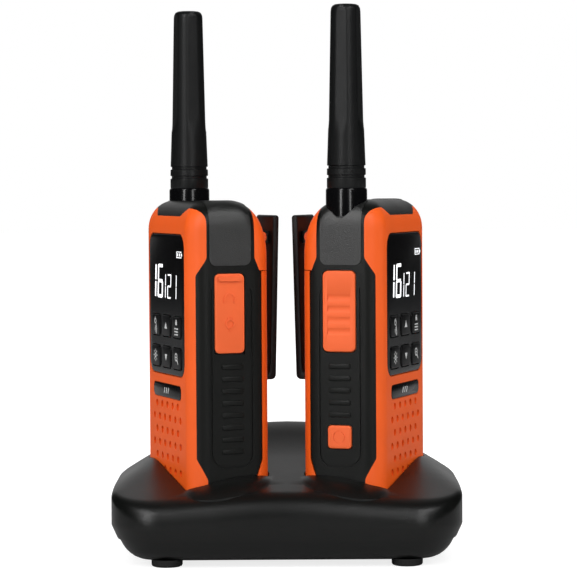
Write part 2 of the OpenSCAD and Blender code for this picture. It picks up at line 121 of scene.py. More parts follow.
def number(name, description, default, **more):
    return FloatProperty(name=name, description=description, default=default, **more)


def vector(name, description, default, **more):
    return FloatVectorProperty(name=name, description=description, default=default, size=3, **more)


class RadioSizes(bpy.types.PropertyGroup):
    corner: number("Corner radius", "Radius of the upright corners of the case", 7.0)
    wall: number("Wall", "Wall thickness of the case in millimetres", 2.0)
    edge: number("Edge radius", "Softened edge of a moulded shell", 0.35)
    band_front_mid: number("Grip front edge", "Front edge of the grip at mid height", -12.9)
    band_front_end: number(
        "Grip front edge at its ends", "Front edge of the grip above and below", -9.15)
    band_rear_mid: number("Grip rear edge", "Rear edge of the grip at mid height", 11.5)
    band_rear_end: number(
        "Grip rear edge at its ends", "Rear edge of the grip above and below", 8.9)
    cap_edge: number("Cap edge", "Height of the top cap's lower edge", 125.0)
    grille_pitch: number("Speaker hole spacing", "Distance between speaker holes across", 6.4)
    grille_step: number("Speaker row spacing", "Distance between speaker rows", 4.77)
    grille_hole: number("Speaker hole", "Diameter of a speaker hole in millimetres", 2.6)
    ridge_pitch: number("Ridge spacing", "Distance between grip ridges", 4.35)


class DockSizes(bpy.types.PropertyGroup):
    corner: number("Corner radius", "Radius of the dock's corners in plan", 18.0)
    front_round: number("Front rounding", "Rounding where the front meets the top", 9.0)
    end_round: number("End rounding", "Rounding where the ends meet the top", 2.5)
    back_round: number("Back rounding", "Rounding where the back meets the top", 4.0)
    well_gap: number("Well clearance", "Free space round a radio in its well", 0.5)
    cheek: vector(
        "Cheek", "Raised cheek beside a radio: reach out, half length, rise", (10.5, 16.5, 3.0))


class FinishColours(bpy.types.PropertyGroup):
    orange: vector("Shell", "Colour of the moulded shells", (0.84, 0.108, 0.010), subtype="COLOR")
    rubber_orange: vector(
        "Buttons", "Colour of the soft orange controls", (0.84, 0.130, 0.032), subtype="COLOR")
    grip_black: vector("Grip", "Colour of the grip frame", (0.0032, 0.0036, 0.003), subtype="COLOR")
    gloss_black: vector(
        "Window", "Colour of the window and collar", (0.0022, 0.0022, 0.0025), subtype="COLOR")
    dock_black: vector(
        "Dock", "Colour of the dock shells", (0.0026, 0.0029, 0.0026), subtype="COLOR")
    lit: vector("Display", "Colour of the lit segments", (0.95, 0.97, 1.0), subtype="COLOR")


class StageSettings(bpy.types.PropertyGroup):
    distance: number("Camera distance", "Distance of the camera from the set", 1.013, unit="LENGTH")
    height: number("Camera height", "Height of the camera above the table", 0.1389, unit="LENGTH")
    pitch: number(
        "Camera pitch", "How far the camera looks down", math.radians(2.313), subtype="ANGLE")
    lens: number("Lens", "Focal length in millimetres on a 36 mm sensor", 171.9)
    roll: number(
        "Camera roll", "Turn of the camera about its view", math.radians(0.35), subtype="ANGLE")
    offset: number("Camera offset", "Sideways place of the camera", 0.0013, unit="LENGTH")


# ---------------------------------------------------------------- mesh helpers

def keep_outward(shape):
    bmesh.ops.recalc_face_normals(shape, faces=shape.faces)
    return shape


def soften(shape, edges, radius, segments=2):
    """Rounds edges of a shape that is drawn in millimetres."""
    bmesh.ops.bevel(shape, geom=edges, offset=radius, offset_type="OFFSET", segments=segments,
                    profile=0.5, affect="EDGES", material=-1, clamp_overlap=True)
    return shape


NEAR = 1e-4


def edges_at(shape, axis, level):
    """Edges that lie in a plane across an axis."""
    return [e for e in shape.edges if all(abs(v.co[axis] - level) < NEAR for v in e.verts)]


AXIS_MAPS = {
    "X": lambda a, b, c: (c, a, b),
    "Y": lambda a, b, c: (a, c, b),
    "Z": lambda a, b, c: (a, b, c),
}


def pull(shape, outline, way):
    """Adds a face to a shape and pulls it into a solid."""
    face = shape.faces.new([shape.verts.new(place) for place in outline])
    pulled = bmesh.ops.extrude_face_region(shape, geom=[face])["geom"]
    verts = [item for item in pulled if isinstance(item, bmesh.types.BMVert)]
    bmesh.ops.translate(shape, verts=verts, vec=way)


def slab(points, axis, low, high, corner=0.0, segments=6):
    """An outline pulled along an axis, its upright edges rounded by corner."""
    place = AXIS_MAPS[axis]
    shape = bmesh.new()
    pull(shape, [place(a, b, low) for a, b in points], Vector(place(0, 0, high - low)))
    keep_outward(shape)
    if corner > 0:
        index = {"X": 0, "Y": 1, "Z": 2}[axis]
        along = [e for e in shape.edges if abs(e.verts[0].co[index] - e.verts[1].co[index]) > 1e-6]
        soften(shape, along, corner, segments)
    return shape


def fillet(corners, steps=8):
    """An outline through corners, each a place and the radius that rounds it."""
    outline = []
    for i, (a, b, radius) in enumerate(corners):
        here = Vector((a, b))
        if radius <= 0:
            outline.append(here)
            continue
        before = Vector(corners[i - 1][:2]) - here
        after = Vector(corners[(i + 1) % len(corners)][:2]) - here
        half = before.angle(after) / 2
        reach = min(radius / math.tan(half), before.length * 0.49, after.length * 0.49)
        bisector = (before.normalized() + after.normalized()).normalized()
        centre = here + bisector * (reach / math.cos(half))
        start = here + before.normalized() * reach - centre
        stop = here + after.normalized() * reach - centre
        outline += [centre + start.slerp(stop, k / steps) * start.length for k in range(steps + 1)]
    return outline


def rect(low_a, high_a, low_b, high_b):
    return [(low_a, low_b), (high_a, low_b), (high_a, high_b), (low_a, high_b)]


def face_of(box, axis, flange=0.0, grow=0.0):
    """A box's outline along an axis, in from its flange and grown by a gap."""
    low, high = box
    a, b = {"X": (1, 2), "Y": (0, 2)}[axis]
    return rect(low[a] + flange - grow, high[a] - flange + grow, low[b] + flange - grow,
                high[b] - flange + grow)


def rod(radius, length, centre, axis="Z", segments=40, top_radius=None):
    """A round bar that starts at centre and runs along an axis."""
    shape = bmesh.new()
    top = radius if top_radius is None else top_radius
    bmesh.ops.create_cone(shape, cap_ends=True, cap_tris=False, segments=segments,
                          radius1=radius, radius2=top, depth=length)
    bmesh.ops.translate(shape, verts=shape.verts, vec=(0, 0, length / 2))
    turn = {"X": Matrix.Rotation(math.radians(90), 3, "Y"),
            "Y": Matrix.Rotation(math.radians(-90), 3, "X"),
            "Z": Matrix.Identity(3)}[axis]
    bmesh.ops.rotate(shape, verts=shape.verts, cent=(0, 0, 0), matrix=turn)
    bmesh.ops.translate(shape, verts=shape.verts, vec=Vector(centre))
    return shape


def lathe(profile, centre, segments=64):
    """A profile of radius and height turned round an upright axis."""
    shape = bmesh.new()
    verts = [shape.verts.new((radius, 0, height)) for radius, height in profile]
    edges = [shape.edges.new(pair) for pair in zip(verts, verts[1:])]
    bmesh.ops.spin(shape, geom=verts + edges, cent=(0, 0, 0), axis=(0, 0, 1), angle=math.tau,
                   steps=segments, use_merge=True)
    bmesh.ops.remove_doubles(shape, verts=shape.verts, dist=1e-5)
    bmesh.ops.translate(shape, verts=shape.verts, vec=Vector(centre))
    return keep_outward(shape)


def join(*shapes):
    """Several shapes as loose parts of one."""
    whole = bmesh.new()
    for shape in shapes:
        mesh = bpy.data.meshes.new("part")
        shape.to_mesh(mesh)
        whole.from_mesh(mesh)
        bpy.data.meshes.remove(mesh)
        shape.free()
    return whole


def loose_object(shape, name):
    mesh = bpy.data.meshes.new(name)
    shape.to_mesh(mesh)
    shape.free()
    made = bpy.data.objects.new(name, mesh)
    bpy.context.scene.collection.objects.link(made)
    return made


def cut(shape, *tools):
    """Cuts each tool from a shape in turn."""
    for tool in tools:
        shape = combine(shape, tool)
    return shape


def combine(shape, tool, operation="DIFFERENCE"):
    """Cuts, joins or intersects two closed shapes, and uses both up."""
    body = loose_object(shape, "body")
    cutter = loose_object(tool, "cutter")
    change = body.modifiers.new("combine", "BOOLEAN")
    change.operation = operation
    change.solver = "EXACT"
    change.object = cutter
    result = bmesh.new()
    result.from_object(body, bpy.context.evaluated_depsgraph_get())
    for used in (body, cutter):
        mesh = used.data
        bpy.data.objects.remove(used)
        bpy.data.meshes.remove(mesh)
    bmesh.ops.remove_doubles(result, verts=result.verts, dist=1e-4)
    return result


SMOOTH_LIMIT = 32


def smooth_flat(mesh, limit=math.radians(SMOOTH_LIMIT)):
    """Shades a mesh smooth, but keeps edges sharper than the limit."""
    for polygon in mesh.polygons:
        polygon.use_smooth = True
    mesh.set_sharp_from_angle(angle=limit)


EDGE_LIMIT = 38


def piece(shape, name, body, coat, slot, matrix=None, replaces=(), edge=0.0, edge_segments=2):
    """Turns a shape in millimetres into a finished piece that rides on a body of the frame."""
    scale = Matrix.Scale(MM, 4)
    shape.transform((matrix or Matrix.Identity(4)) @ scale)
    mesh = bpy.data.meshes.new(name)
    shape.to_mesh(mesh)
    shape.free()
    smooth_flat(mesh)
    mesh.materials.append(finish(coat))
    made = bpy.data.objects.new(name, mesh)
    bpy.context.scene.collection.objects.link(made)
    if edge > 0:
        rounded = made.modifiers.new("softened edges", "BEVEL")
        rounded.width = edge * MM
        rounded.segments = edge_segments
        rounded.limit_method = "ANGLE"
        rounded.angle_limit = math.radians(EDGE_LIMIT)
        rounded.use_clamp_overlap = True
        rounded.harden_normals = True
    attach(made, body)
    if replaces:
        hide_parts(*replaces)
    return made


def radio_pieces(draw, name, body, coat, slot, replaces=(), **finishing):
    """Draws one piece and sets a copy of it on each radio, each name led by its side."""
    shape = draw()
    for side in SIDES:
        piece(shape.copy(), f"{side}_{name}", f"{side}_{body}", coat, slot,
              matrix=RADIO[side], replaces=[f"{side}_{node}" for node in replaces], **finishing)
    shape.free()


# ---------------------------------------------------------------- materials

def put(tree, kind, sockets=None, **settings):
    """Adds a shader node; sockets take a plain value or another node's output."""
    node = tree.nodes.new("ShaderNode" + kind)
    for name, value in settings.items():
        setattr(node, name, value)
    fill_sockets(tree, node.inputs, sockets or {})
    return node


def fill_sockets(tree, inputs, sockets):
    for socket, value in sockets.items():
        if isinstance(value, bpy.types.NodeSocket):
            tree.links.new(value, inputs[socket])
        else:
            inputs[socket].default_value = value


def maths(tree, operation, *values, **settings):
    """A maths node's result."""
    node = put(tree, "Math", dict(enumerate(values)), operation=operation, **settings)
    return node.outputs["Value"]


def make_grain_group():
    """Fine moulded grain with slow changes of colour and gloss."""
    group = bpy.data.node_groups.new("moulded grain", "ShaderNodeTree")
    for way, rows in (
            ("INPUT", (("Colour", "Color"), ("Roughness", "Float"), ("Grain size", "Float"),
                       ("Grain depth", "Float"), ("Handling", "Float"))),
            ("OUTPUT", (("Colour", "Color"), ("Roughness", "Float"), ("Normal", "Vector")))):
        for label, kind in rows:
            group.interface.new_socket(label, in_out=way, socket_type="NodeSocket" + kind)
    given = group.nodes.new("NodeGroupInput").outputs
    place = put(group, "TexCoord").outputs["Object"]
    size = given["Grain size"]
    grain = put(group, "TexNoise", {"Vector": place, "Scale": size, "Detail": 3.0,
                                    "Roughness": 0.6})
    cells = put(group, "TexVoronoi", {"Vector": place, "Scale": size}, feature="SMOOTH_F1")
    relief = maths(group, "MULTIPLY_ADD", cells.outputs["Distance"], 0.6, grain.outputs["Fac"])
    bump = put(group, "Bump", {"Distance": 0.00012, "Strength": given["Grain depth"],
                               "Height": relief})
    smudge = put(group, "TexNoise", {"Vector": place, "Scale": 38.0, "Detail": 4.0})
    centred = maths(group, "SUBTRACT", smudge.outputs["Fac"], 0.5)
    amount = maths(group, "MULTIPLY", centred, given["Handling"])
    gloss = maths(group, "ADD", given["Roughness"], amount, use_clamp=True)
    value = maths(group, "MULTIPLY_ADD", centred, 0.22, 1.0)
    shade = put(group, "HueSaturation", {"Value": value, "Color": given["Colour"]})
    fill_sockets(group, group.nodes.new("NodeGroupOutput").inputs, {
        "Colour": shade.outputs["Color"], "Roughness": gloss, "Normal": bump.outputs["Normal"]})
    return group


GROUPS = {}
MATERIALS = {}


def grain_group():
    if "grain" not in GROUPS:
        GROUPS["grain"] = make_grain_group()
    return GROUPS["grain"]


def moulded(name, colour, roughness, grain_size=2600.0, grain_depth=0.25, handling=0.12,
            coat=0.0, specular=0.5, metallic=0.0, sheen=0.0):
    """A moulded, rubbery or metal finish with its own grain."""
    material = bpy.data.materials.new(name)
    material.use_nodes = True
    tree = material.node_tree
    surface = put(tree, "Group", node_tree=grain_group())
    fill_sockets(tree, surface.inputs, {
        "Colour": (*colour, 1), "Roughness": roughness, "Grain size": grain_size,
        "Grain depth": grain_depth, "Handling": handling})
    fill_sockets(tree, tree.nodes["Principled BSDF"].inputs, {
        "Base Color": surface.outputs["Colour"], "Roughness": surface.outputs["Roughness"],
        "Normal": surface.outputs["Normal"], "Coat Weight": coat, "Coat Roughness": 0.12,
        "Specular IOR Level": specular, "Metallic": metallic, "Sheen Weight": sheen})
    MATERIALS[name] = material
    return material


def lit_material():
    """The glowing segments of the display."""
    material = moulded("lit segments", (0.8, 0.8, 0.8), 0.5, handling=0.05)
    fill_sockets(material.node_tree, material.node_tree.nodes["Principled BSDF"].inputs, {
        "Emission Color": (*bpy.context.scene.finish_colours.lit, 1), "Emission Strength": 1.1})
    return material


def finish(name):
    """The object's finishes: colour; roughness, grain size, grain depth, handling; the rest."""
    if name in MATERIALS:
        return MATERIALS[name]
    if name == "lit segments":
        return lit_material()
    colours = bpy.context.scene.finish_colours
    colour, numbers, more = {
        "orange shell": (colours.orange, (0.46, 3000, 0.14, 0.10), {"specular": 0.4}),
        "orange rubber": (colours.rubber_orange, (0.55, 3600, 0.16, 0.08),
                          {"specular": 0.35, "sheen": 0.05}),
        "grip plastic": (colours.grip_black, (0.36, 2300, 0.3, 0.14), {"specular": 0.28}),
        "neck texture": (colours.grip_black, (0.4, 3000, 0.7, 0.16), {"specular": 1.0}),
        "gloss black": (colours.gloss_black, (0.18, 900, 0.02, 0.05), {"specular": 0.35}),
        "antenna rubber": ((0.0042, 0.0045, 0.0046), (0.4, 2800, 0.3, 0.12), {"specular": 0.3}),
        "clip plastic": ((0.003, 0.0034, 0.0038), (0.45, 2600, 0.22, 0.14), {"specular": 0.3}),
        "key rubber": ((0.002, 0.002, 0.0022), (0.36, 2600, 0.1, 0.10), {"specular": 0.2}),
        "dock plastic": (colours.dock_black, (0.33, 2200, 0.3, 0.14), {"specular": 0.45}),
        "foot rubber": ((0.008, 0.008, 0.008), (0.7, 1800, 0.4, 0.1), {}),
        "steel": ((0.55, 0.55, 0.56), (0.3, 1800, 0.08, 0.1), {"metallic": 1.0}),
        "gold plate": ((0.75, 0.5, 0.16), (0.25, 1500, 0.05, 0.08), {"metallic": 1.0}),
        "circuit board": ((0.02, 0.13, 0.05), (0.4, 1200, 0.2, 0.1), {"coat": 0.3}),
        "battery wrap": ((0.22, 0.24, 0.26), (0.35, 900, 0.1, 0.1), {}),
        "panel glass": ((0.30, 0.32, 0.30), (0.2, 600, 0.03, 0.05), {}),
        "speaker frame": ((0.05, 0.05, 0.055), (0.45, 1500, 0.2, 0.1), {}),
        "socket plastic": ((0.02, 0.02, 0.02), (0.4, 2000, 0.15, 0.1), {}),
        "print white": ((0.62, 0.63, 0.62), (0.5, 1500, 0.05, 0.06), {}),
    }[name]
    return moulded(name, colour, *numbers, **more)


# ---------------------------------------------------------------- the form of the case

FRONT_ROUND = (8.0, 11.0)
REAR_ROUND = (12.0, 20.0)
SHOULDER = (7.0, 9.0)
CORNER_STEPS = 14
FACE_STEPS = 12
FLANK_STEPS = 8
EAR_RISE = 3.2


def quarter(distance, radii):
    """How far a rounded edge has drawn in, at a distance into its rounding."""
    share = min(max(distance / radii[1], 0.0), 1.0)
    return radii[0] * (1 - math.sqrt(1 - share * share))


def case_reach(height, inset):
    """Half width, front and rear reach of the case at a height."""
    top = TOP - inset
    shoulder = (SHOULDER[0] - inset, SHOULDER[1] - inset)
    brow = (FRONT_ROUND[0] - inset, FRONT_ROUND[1] - inset)
    back = (REAR_ROUND[0] - inset, REAR_ROUND[1] - inset)
    half = HALF_W - inset - quarter(height - (top - shoulder[1]), shoulder)
    front = HALF_D - inset - quarter(height - (top - brow[1]), brow)
    rear = HALF_D - inset - quarter(height - (top - back[1]), back)
    heel = quarter((FOOT + inset + 2) - height, (2.0, 2.0))
    return half - heel, front - heel, rear - heel


def ring_points(half, front, rear, corner):
    """Points of a rounded outline, the same number on every ring."""
    corner = min(corner, half * 0.9, (front + rear) * 0.45)
    centres = [(half - corner, -front + corner, -90), (half - corner, rear - corner, 0),
               (-half + corner, rear - corner, 90), (-half + corner, -front + corner, 180)]
    flats = [FLANK_STEPS, FACE_STEPS, FLANK_STEPS, FACE_STEPS]
    points = []
    for (x, y, start), steps, following in zip(centres, flats, centres[1:] + centres[:1]):
        for i in range(CORNER_STEPS + 1):
            angle = math.radians(start + 90 * i / CORNER_STEPS)
            points.append(Vector((x + corner * math.cos(angle), y + corner * math.sin(angle))))
        angle = math.radians(following[2])
        target = Vector((following[0] + corner * math.cos(angle),
                         following[1] + corner * math.sin(angle)))
        last = points[-1]
        points += [last.lerp(target, i / steps) for i in range(1, steps)]
    return points


def stacked(rings):
    """A closed form through a stack of rings, each a height and its outline."""
    count = len(rings[0][1])
    shape = bmesh.new()
    bmesh.ops.create_cone(shape, cap_ends=True, cap_tris=False, segments=count, radius1=1,
                          radius2=1, depth=1)
    upright = [e for e in shape.edges if abs(e.verts[0].co.z - e.verts[1].co.z) > 0.5]
    bmesh.ops.subdivide_edges(shape, edges=upright, cuts=len(rings) - 2, use_grid_fill=False)
    for vert in shape.verts:
        level = round((vert.co.z + 0.5) * (len(rings) - 1))
        index = round(math.atan2(vert.co.y, vert.co.x) / math.tau * count) % count
        heights, outline = rings[level]
        point = outline[index]
        vert.co = (point.x, point.y, heights[index] if isinstance(heights, list) else heights)
    return keep_outward(shape)


def case_form(inset=0.0):
    sizes = bpy.context.scene.radio_sizes
    low, top = FOOT + inset, TOP - inset
    heights = [low, low + 0.3, low + 0.8, low + 1.4, low + 2]
    heights += [low + 2 + (top - REAR_ROUND[1] - low - 2) * i / 6 for i in range(1, 7)]
    bend = REAR_ROUND[1]
    heights += [top - bend + bend * math.sin(math.radians(90 * i / 22)) for i in range(1, 23)]
    rings = []
    for height in heights:
        half, front, rear = case_reach(min(height, top - 1e-4), inset)
        rings.append((height, ring_points(half, front, rear, sizes.corner - inset)))
    return stacked(rings)


def front_zone():
    """Everything in front of the grip; its top curves forward round the case's ears."""
    s = bpy.context.scene.radio_sizes
    ear = s.cap_edge + EAR_RISE
    corners = [(-HALF_D - 4, 0, 0), (s.band_front_end, 0, 0), (s.band_front_end, 30.7, 3),
               (s.band_front_mid, 38, 3), (s.band_front_mid, 104, 3), (s.band_front_end, 110, 3),
               (s.band_front_end, ear, 8.4), (-HALF_D - 4, ear, 0)]
    return side_slab(fillet(corners))


def rear_zone(back=0.0):
    """Everything behind the grip."""
    s = bpy.context.scene.radio_sizes
    end, mid = s.band_rear_end + back, s.band_rear_mid + back
    corners = [(HALF_D + 4, 0, 0), (end, 0, 0), (end, 30.7 - back, 3), (mid, 38 - back, 3),
               (mid, 104, 3), (end, 110, 3), (end, TOP + 3, 0), (HALF_D + 4, TOP + 3, 0)]
    return side_slab(fillet(corners))


def side_slab(points):
    return slab(points, "X", -HALF_W - 3, HALF_W + 3)


def cap_zone():
    """The front of the top cap, a low trapezium between the ears."""
    edge = bpy.context.scene.radio_sizes.cap_edge
    ear = edge + EAR_RISE
    corners = [(-14, edge, 1.6), (14, edge, 1.6), (19.5, ear, 1.6), (HALF_W + 3, ear, 0),
               (HALF_W + 3, TOP + 3, 0), (-HALF_W - 3, TOP + 3, 0), (-HALF_W - 3, ear, 0),
               (-19.5, ear, 1.6)]
    return slab(fillet(corners), "Y", -HALF_D - 3, 0)


def case_shell():
    wall = bpy.context.scene.radio_sizes.wall
    return combine(case_form(), case_form(wall))


def window_slab(grow, low, high):
    return slab(face_of((WINDOW_LOW, WINDOW_HIGH), "Y", 0, grow), "Y", low, high, 5.0 + grow, 8)


GRILLE_TOP = 55.8
GRILLE_ROWS = 6


def grille_tool():
    """Round holes in rows that hold five and six by turns."""
    sizes = bpy.context.scene.radio_sizes
    holes = []
    for row in range(GRILLE_ROWS):
        count = 5 + row % 2
        for i in range(count):
            x = (i - (count - 1) / 2) * sizes.grille_pitch
            z = GRILLE_TOP - row * sizes.grille_step
            holes.append(rod(sizes.grille_hole / 2, 3.4, (x, -HALF_D - 2, z), "Y", 24))
    return holes


# ---------------------------------------------------------------- radio pieces

def draw_front_case():
    name_recess = face_of((PLATE_LOW, PLATE_HIGH), "Y", 0, 0.2)
    return cut(combine(case_shell(), front_zone(), "INTERSECT"), cap_zone(),
               window_slab(0.25, -HALF_D - 2, -HALF_D + 1.2),
               slab(rect(-19, 19, 68.6, 116.5), "Y", -HALF_D - 2, 0, 3),
               slab(name_recess, "Y", -HALF_D - 2, -HALF_D + 0.7, 1.9), join(*grille_tool()))


def groove_tool(side):
    """The groove that runs down, round and up again on one flank."""
    x = side * HALF_W
    outer = slab(rect(-8.35, 7.9, 34.6, 101.5), "X", x - 0.5, x + 0.5, 5.2, 10)
    inner = slab(rect(-7.3, 6.85, 35.65, 110), "X", x - 1, x + 1, 4.2, 10)
    return combine(outer, inner)


def ridge(side, z):
    x = side * HALF_W
    low, high = sorted((x - side * 0.8, x + side * 0.45))
    shape = slab(rect(-3.8, 4.4, z - 0.95, z + 0.95), "X", low, high, 0.6, 3)
    return soften(shape, edges_at(shape, 0, x + side * 0.45), 0.35, 3)


RECESS_GAP = 0.3
COVER_RECESS = 1.25
RIDGE_TOP = 71


def draw_side_frame():
    """The grip: a band round the flanks and the brow of the cap, with all that is cut in it."""
    sizes = bpy.context.scene.radio_sizes
    shell = case_shell()
    middle = combine(combine(shell.copy(), front_zone()), rear_zone())
    brow = combine(combine(shell, front_zone(), "INTERSECT"), cap_zone(), "INTERSECT")
    shape = combine(middle, brow, "UNION")
    grow = RECESS_GAP
    for low, high, side in ((PTT_LOW, PTT_HIGH, -1), (ALARM_LOW, ALARM_HIGH, -1),
                            (COVER_LOW, COVER_HIGH, 1)):
        flange = 1.0 if side < 0 else 0.0
        depth = 4.0 if side < 0 else COVER_RECESS
        x = side * HALF_W
        span = sorted((x - side * depth, x + side * 2))
        shape = combine(shape, slab(face_of((low, high), "X", flange, grow), "X", *span,
                                    2.0 if high.z - low.z > 15 else 1.4))
    hinge_room = rect(COVER_LOW.y - grow, COVER_HIGH.y + grow, COVER_LOW.z - grow,
                      COVER_LOW.z + 3)
    shape = combine(shape, slab(hinge_room, "X", HALF_W - COVER_RECESS, HALF_W + 2))
    shape = cut(shape, groove_tool(-1), groove_tool(1))
    bars = [ridge(side, RIDGE_TOP - i * sizes.ridge_pitch)
            for side, count in ((1, 8), (-1, 5)) for i in range(count)]
    shape = combine(shape, join(*bars), "UNION")
    contacts = [rod(2.1, 4, (x, -4, FOOT - 1)) for x in (-6, 6)]
    jack = rod(2.5, 6, (HALF_W - 4, JACK_PLACE[1], 94), "X")
    port = slab(rect(-4.2, 4.2, 81.8, 85.2), "X", HALF_W - 4, HALF_W, 1.2)
    socket = rod(COLLAR_HIGH.x - ANTENNA_X + 0.12, 30, (ANTENNA_X, 0, 124.7))
    return cut(shape, socket, *contacts, jack, port)


def draw_neck_panel(side):
    """The rough panel on the neck, above the buttons and over the shoulder."""
    skin = combine(case_form(-0.25), case_form(0.4))
    low, high = sorted((side * 20.6, side * (HALF_W + 3)))
    region = slab(fillet([(-8.1, 107.4, 2.6), (7.5, 107.4, 2.6), (7.5, TOP + 4, 0),
                          (-8.1, TOP + 4, 0)]), "X", low, high)
    shape = combine(skin, region, "INTERSECT")
    if side < 0:
        shape = combine(shape, rod(COLLAR_HIGH.x - ANTENNA_X + 0.45, 20, (ANTENNA_X, 0, 124.2)))
    return shape


def draw_rear_case():
    sizes = bpy.context.scene.radio_sizes
    shape = combine(case_shell(), rear_zone(), "INTERSECT")
    shape = combine(shape, slab(rect(-HALF_W - 3, HALF_W + 3, DOOR_HIGH.z + 0.3, TOP + 3), "Y", 0,
                                HALF_D + 3), "INTERSECT")
    for x in (-17, 17):
        shape = combine(shape, rod(2.3, 4, (x, HALF_D - 1.6, 112), "Y"))
    lugs = []
    for low, high in ((-7.5, -5.5), (5.5, 7.5)):
        boss = rod(2.2, high - low, (low, PIN_Y, PIN_Z), "X", 32)
        foot = slab(rect(13.4, PIN_Y, PIN_Z - 2.2, PIN_Z + 2.2), "X", low, high)
        lugs.append(combine(boss, foot, "UNION"))
    shape = combine(shape, join(*lugs), "UNION")
    shape = combine(shape, rod(1.0, 16, (-8, PIN_Y, PIN_Z), "X", 24))
    tray = slab(rect(-24, 19, 17, 108), "Y", 0.5, sizes.wall)
    return join(shape, tray)


def draw_battery_door():
    shape = combine(case_shell(), rear_zone(0.3), "INTERSECT")
    shape = combine(shape, slab(rect(-HALF_W - 3, HALF_W + 3, 0, DOOR_HIGH.z), "Y", 0, HALF_D + 3),
                    "INTERSECT")
    keep = slab([(9.2, 0), (HALF_D + 3, 0), (HALF_D + 3, DOOR_HIGH.z), (11.8, DOOR_HIGH.z),
                 (11.8, 37.4), (9.2, 30.2)], "X", -HALF_W - 3, HALF_W + 3)
    shape = combine(shape, keep, "INTERSECT")
    grooves = [slab(rect(-8 + i, 8 - i, 48 + i * 2.2, 48.9 + i * 2.2), "Y", HALF_D - 0.5,
                    HALF_D + 1) for i in range(5)]
    panel = combine(slab(rect(-20, 20, 40, 100), "Y", HALF_D - 0.4, HALF_D + 1, 4),
                    slab(rect(-19.3, 19.3, 40.7, 99.3), "Y", HALF_D - 1, HALF_D + 2, 3.4))
    shape = combine(shape, join(*grooves))
    return combine(shape, panel)


KEY_FLANGE = 0.7


def key_slab(name, grow, low, high, corner=1.6):
    return slab(face_of(KEY_BOXES[name], "Y", KEY_FLANGE, grow), "Y", low, high, corner)


def draw_window():
    shape = window_slab(0.0, WINDOW_LOW.y, WINDOW_HIGH.y)
    soften(shape, edges_at(shape, 1, WINDOW_LOW.y), 0.5, 3)
    for name in KEY_NAMES:
        shape = combine(shape, key_slab(name, 0.3, -HALF_D - 2, 0))
    return shape


def draw_key(name):
    low, high = KEY_BOXES[name]
    shape = key_slab(name, 0.0, low.y, high.y - 1)
    return soften(shape, edges_at(shape, 1, low.y), 0.45, 3)


def draw_side_button(low, high, corner, waves):
    """A soft bar with a rounded rim and shallow waves across it."""
    face = -HALF_W - BUTTON_RISE
    shape = slab(face_of((low, high), "X", 1), "X", face, high.x, corner, 6)
    soften(shape, edges_at(shape, 0, face), 0.55, 4)
    flange = slab(face_of((low, high), "X"), "X", -HALF_W + 2.35, high.x, corner)
    shape = combine(shape, flange, "UNION")
    across = high.y - low.y - 5.6
    cuts = [rod(2.4, across, (face - 2.05, low.y + 2.8, z), "Y", 64) for z in waves]
    return combine(shape, join(*cuts)) if cuts else shape


def draw_ptt():
    return draw_side_button(PTT_LOW, PTT_HIGH, 2.0, [83.5 + i * 4.05 for i in range(4)])


def draw_alarm():
    shape = draw_side_button(ALARM_LOW, ALARM_HIGH, 1.3, [])
    face = -HALF_W - BUTTON_RISE
    middle = ((ALARM_LOW.y + ALARM_HIGH.y) / 2, (ALARM_LOW.z + ALARM_HIGH.z) / 2)
    ring = combine(rod(2.3, 1, (face - 0.85, *middle), "X", 32),
                   rod(1.95, 3, (face - 2, *middle), "X", 32))
    return combine(shape, ring)


def draw_cover():
    """The rubber flap with its finger lip and two raised signs."""
    face = COVER_HIGH.x - 0.8
    shape = slab(face_of((COVER_LOW, COVER_HIGH), "X"), "X", COVER_LOW.x, face, 1.8, 6)
    soften(shape, edges_at(shape, 0, face), 0.5, 3)
    bead = [e for e in edges_at(shape, 0, COVER_LOW.x)
            if all(v.co.z < COVER_LOW.z + 1.7 for v in e.verts)]
    soften(shape, bead, 0.65, 4)
    lip = slab(rect(COVER_LOW.y + 1.2, COVER_HIGH.y - 1.2, COVER_HIGH.z - 2.7, COVER_HIGH.z - 1.0),
               "X", face - 0.5, COVER_HIGH.x - 0.05, 0.7, 4)
    shape = combine(shape, lip, "UNION")
    y = (COVER_LOW.y + COVER_HIGH.y) / 2
    phones = strokes([arc(0, 0, 1.9, 0, 180, 0.5), bar(-1.9, -1.5, -1.9, 0, 0.8),
                      bar(1.9, -1.5, 1.9, 0, 0.8)], 0.3)
    plug = strokes([arc(0, 0, 1.5, 0, 360, 0.5), bar(-0.6, 1.5, -0.6, 2.5, 0.45),
                    bar(0.6, 1.5, 0.6, 2.5, 0.45), bar(0, -2.6, 0, -1.5, 0.45)], 0.3)
    for sign, z in ((phones, 95.5), (plug, 86.5)):
        bmesh.ops.transform(sign, matrix=on_right_flank(face, y, z), verts=sign.verts)
    return join(shape, phones, plug)


def draw_plate():
    shape = slab(face_of((PLATE_LOW, PLATE_HIGH), "Y"), "Y", PLATE_LOW.y, PLATE_HIGH.y, 2.2, 8)
    return soften(shape, edges_at(shape, 1, PLATE_LOW.y), 0.25, 2)


def draw_collar():
    radius = COLLAR_HIGH.x - ANTENNA_X
    top = COLLAR_HIGH.z
    return lathe([(0, 111), (2.9, 111), (2.9, 124.2), (radius, 124.2),
                  (radius - 0.02, top - 0.8), (radius - 0.2, top - 0.3), (radius - 0.5, top),
                  (0, top)], (ANTENNA_X, 0, 0), 96)


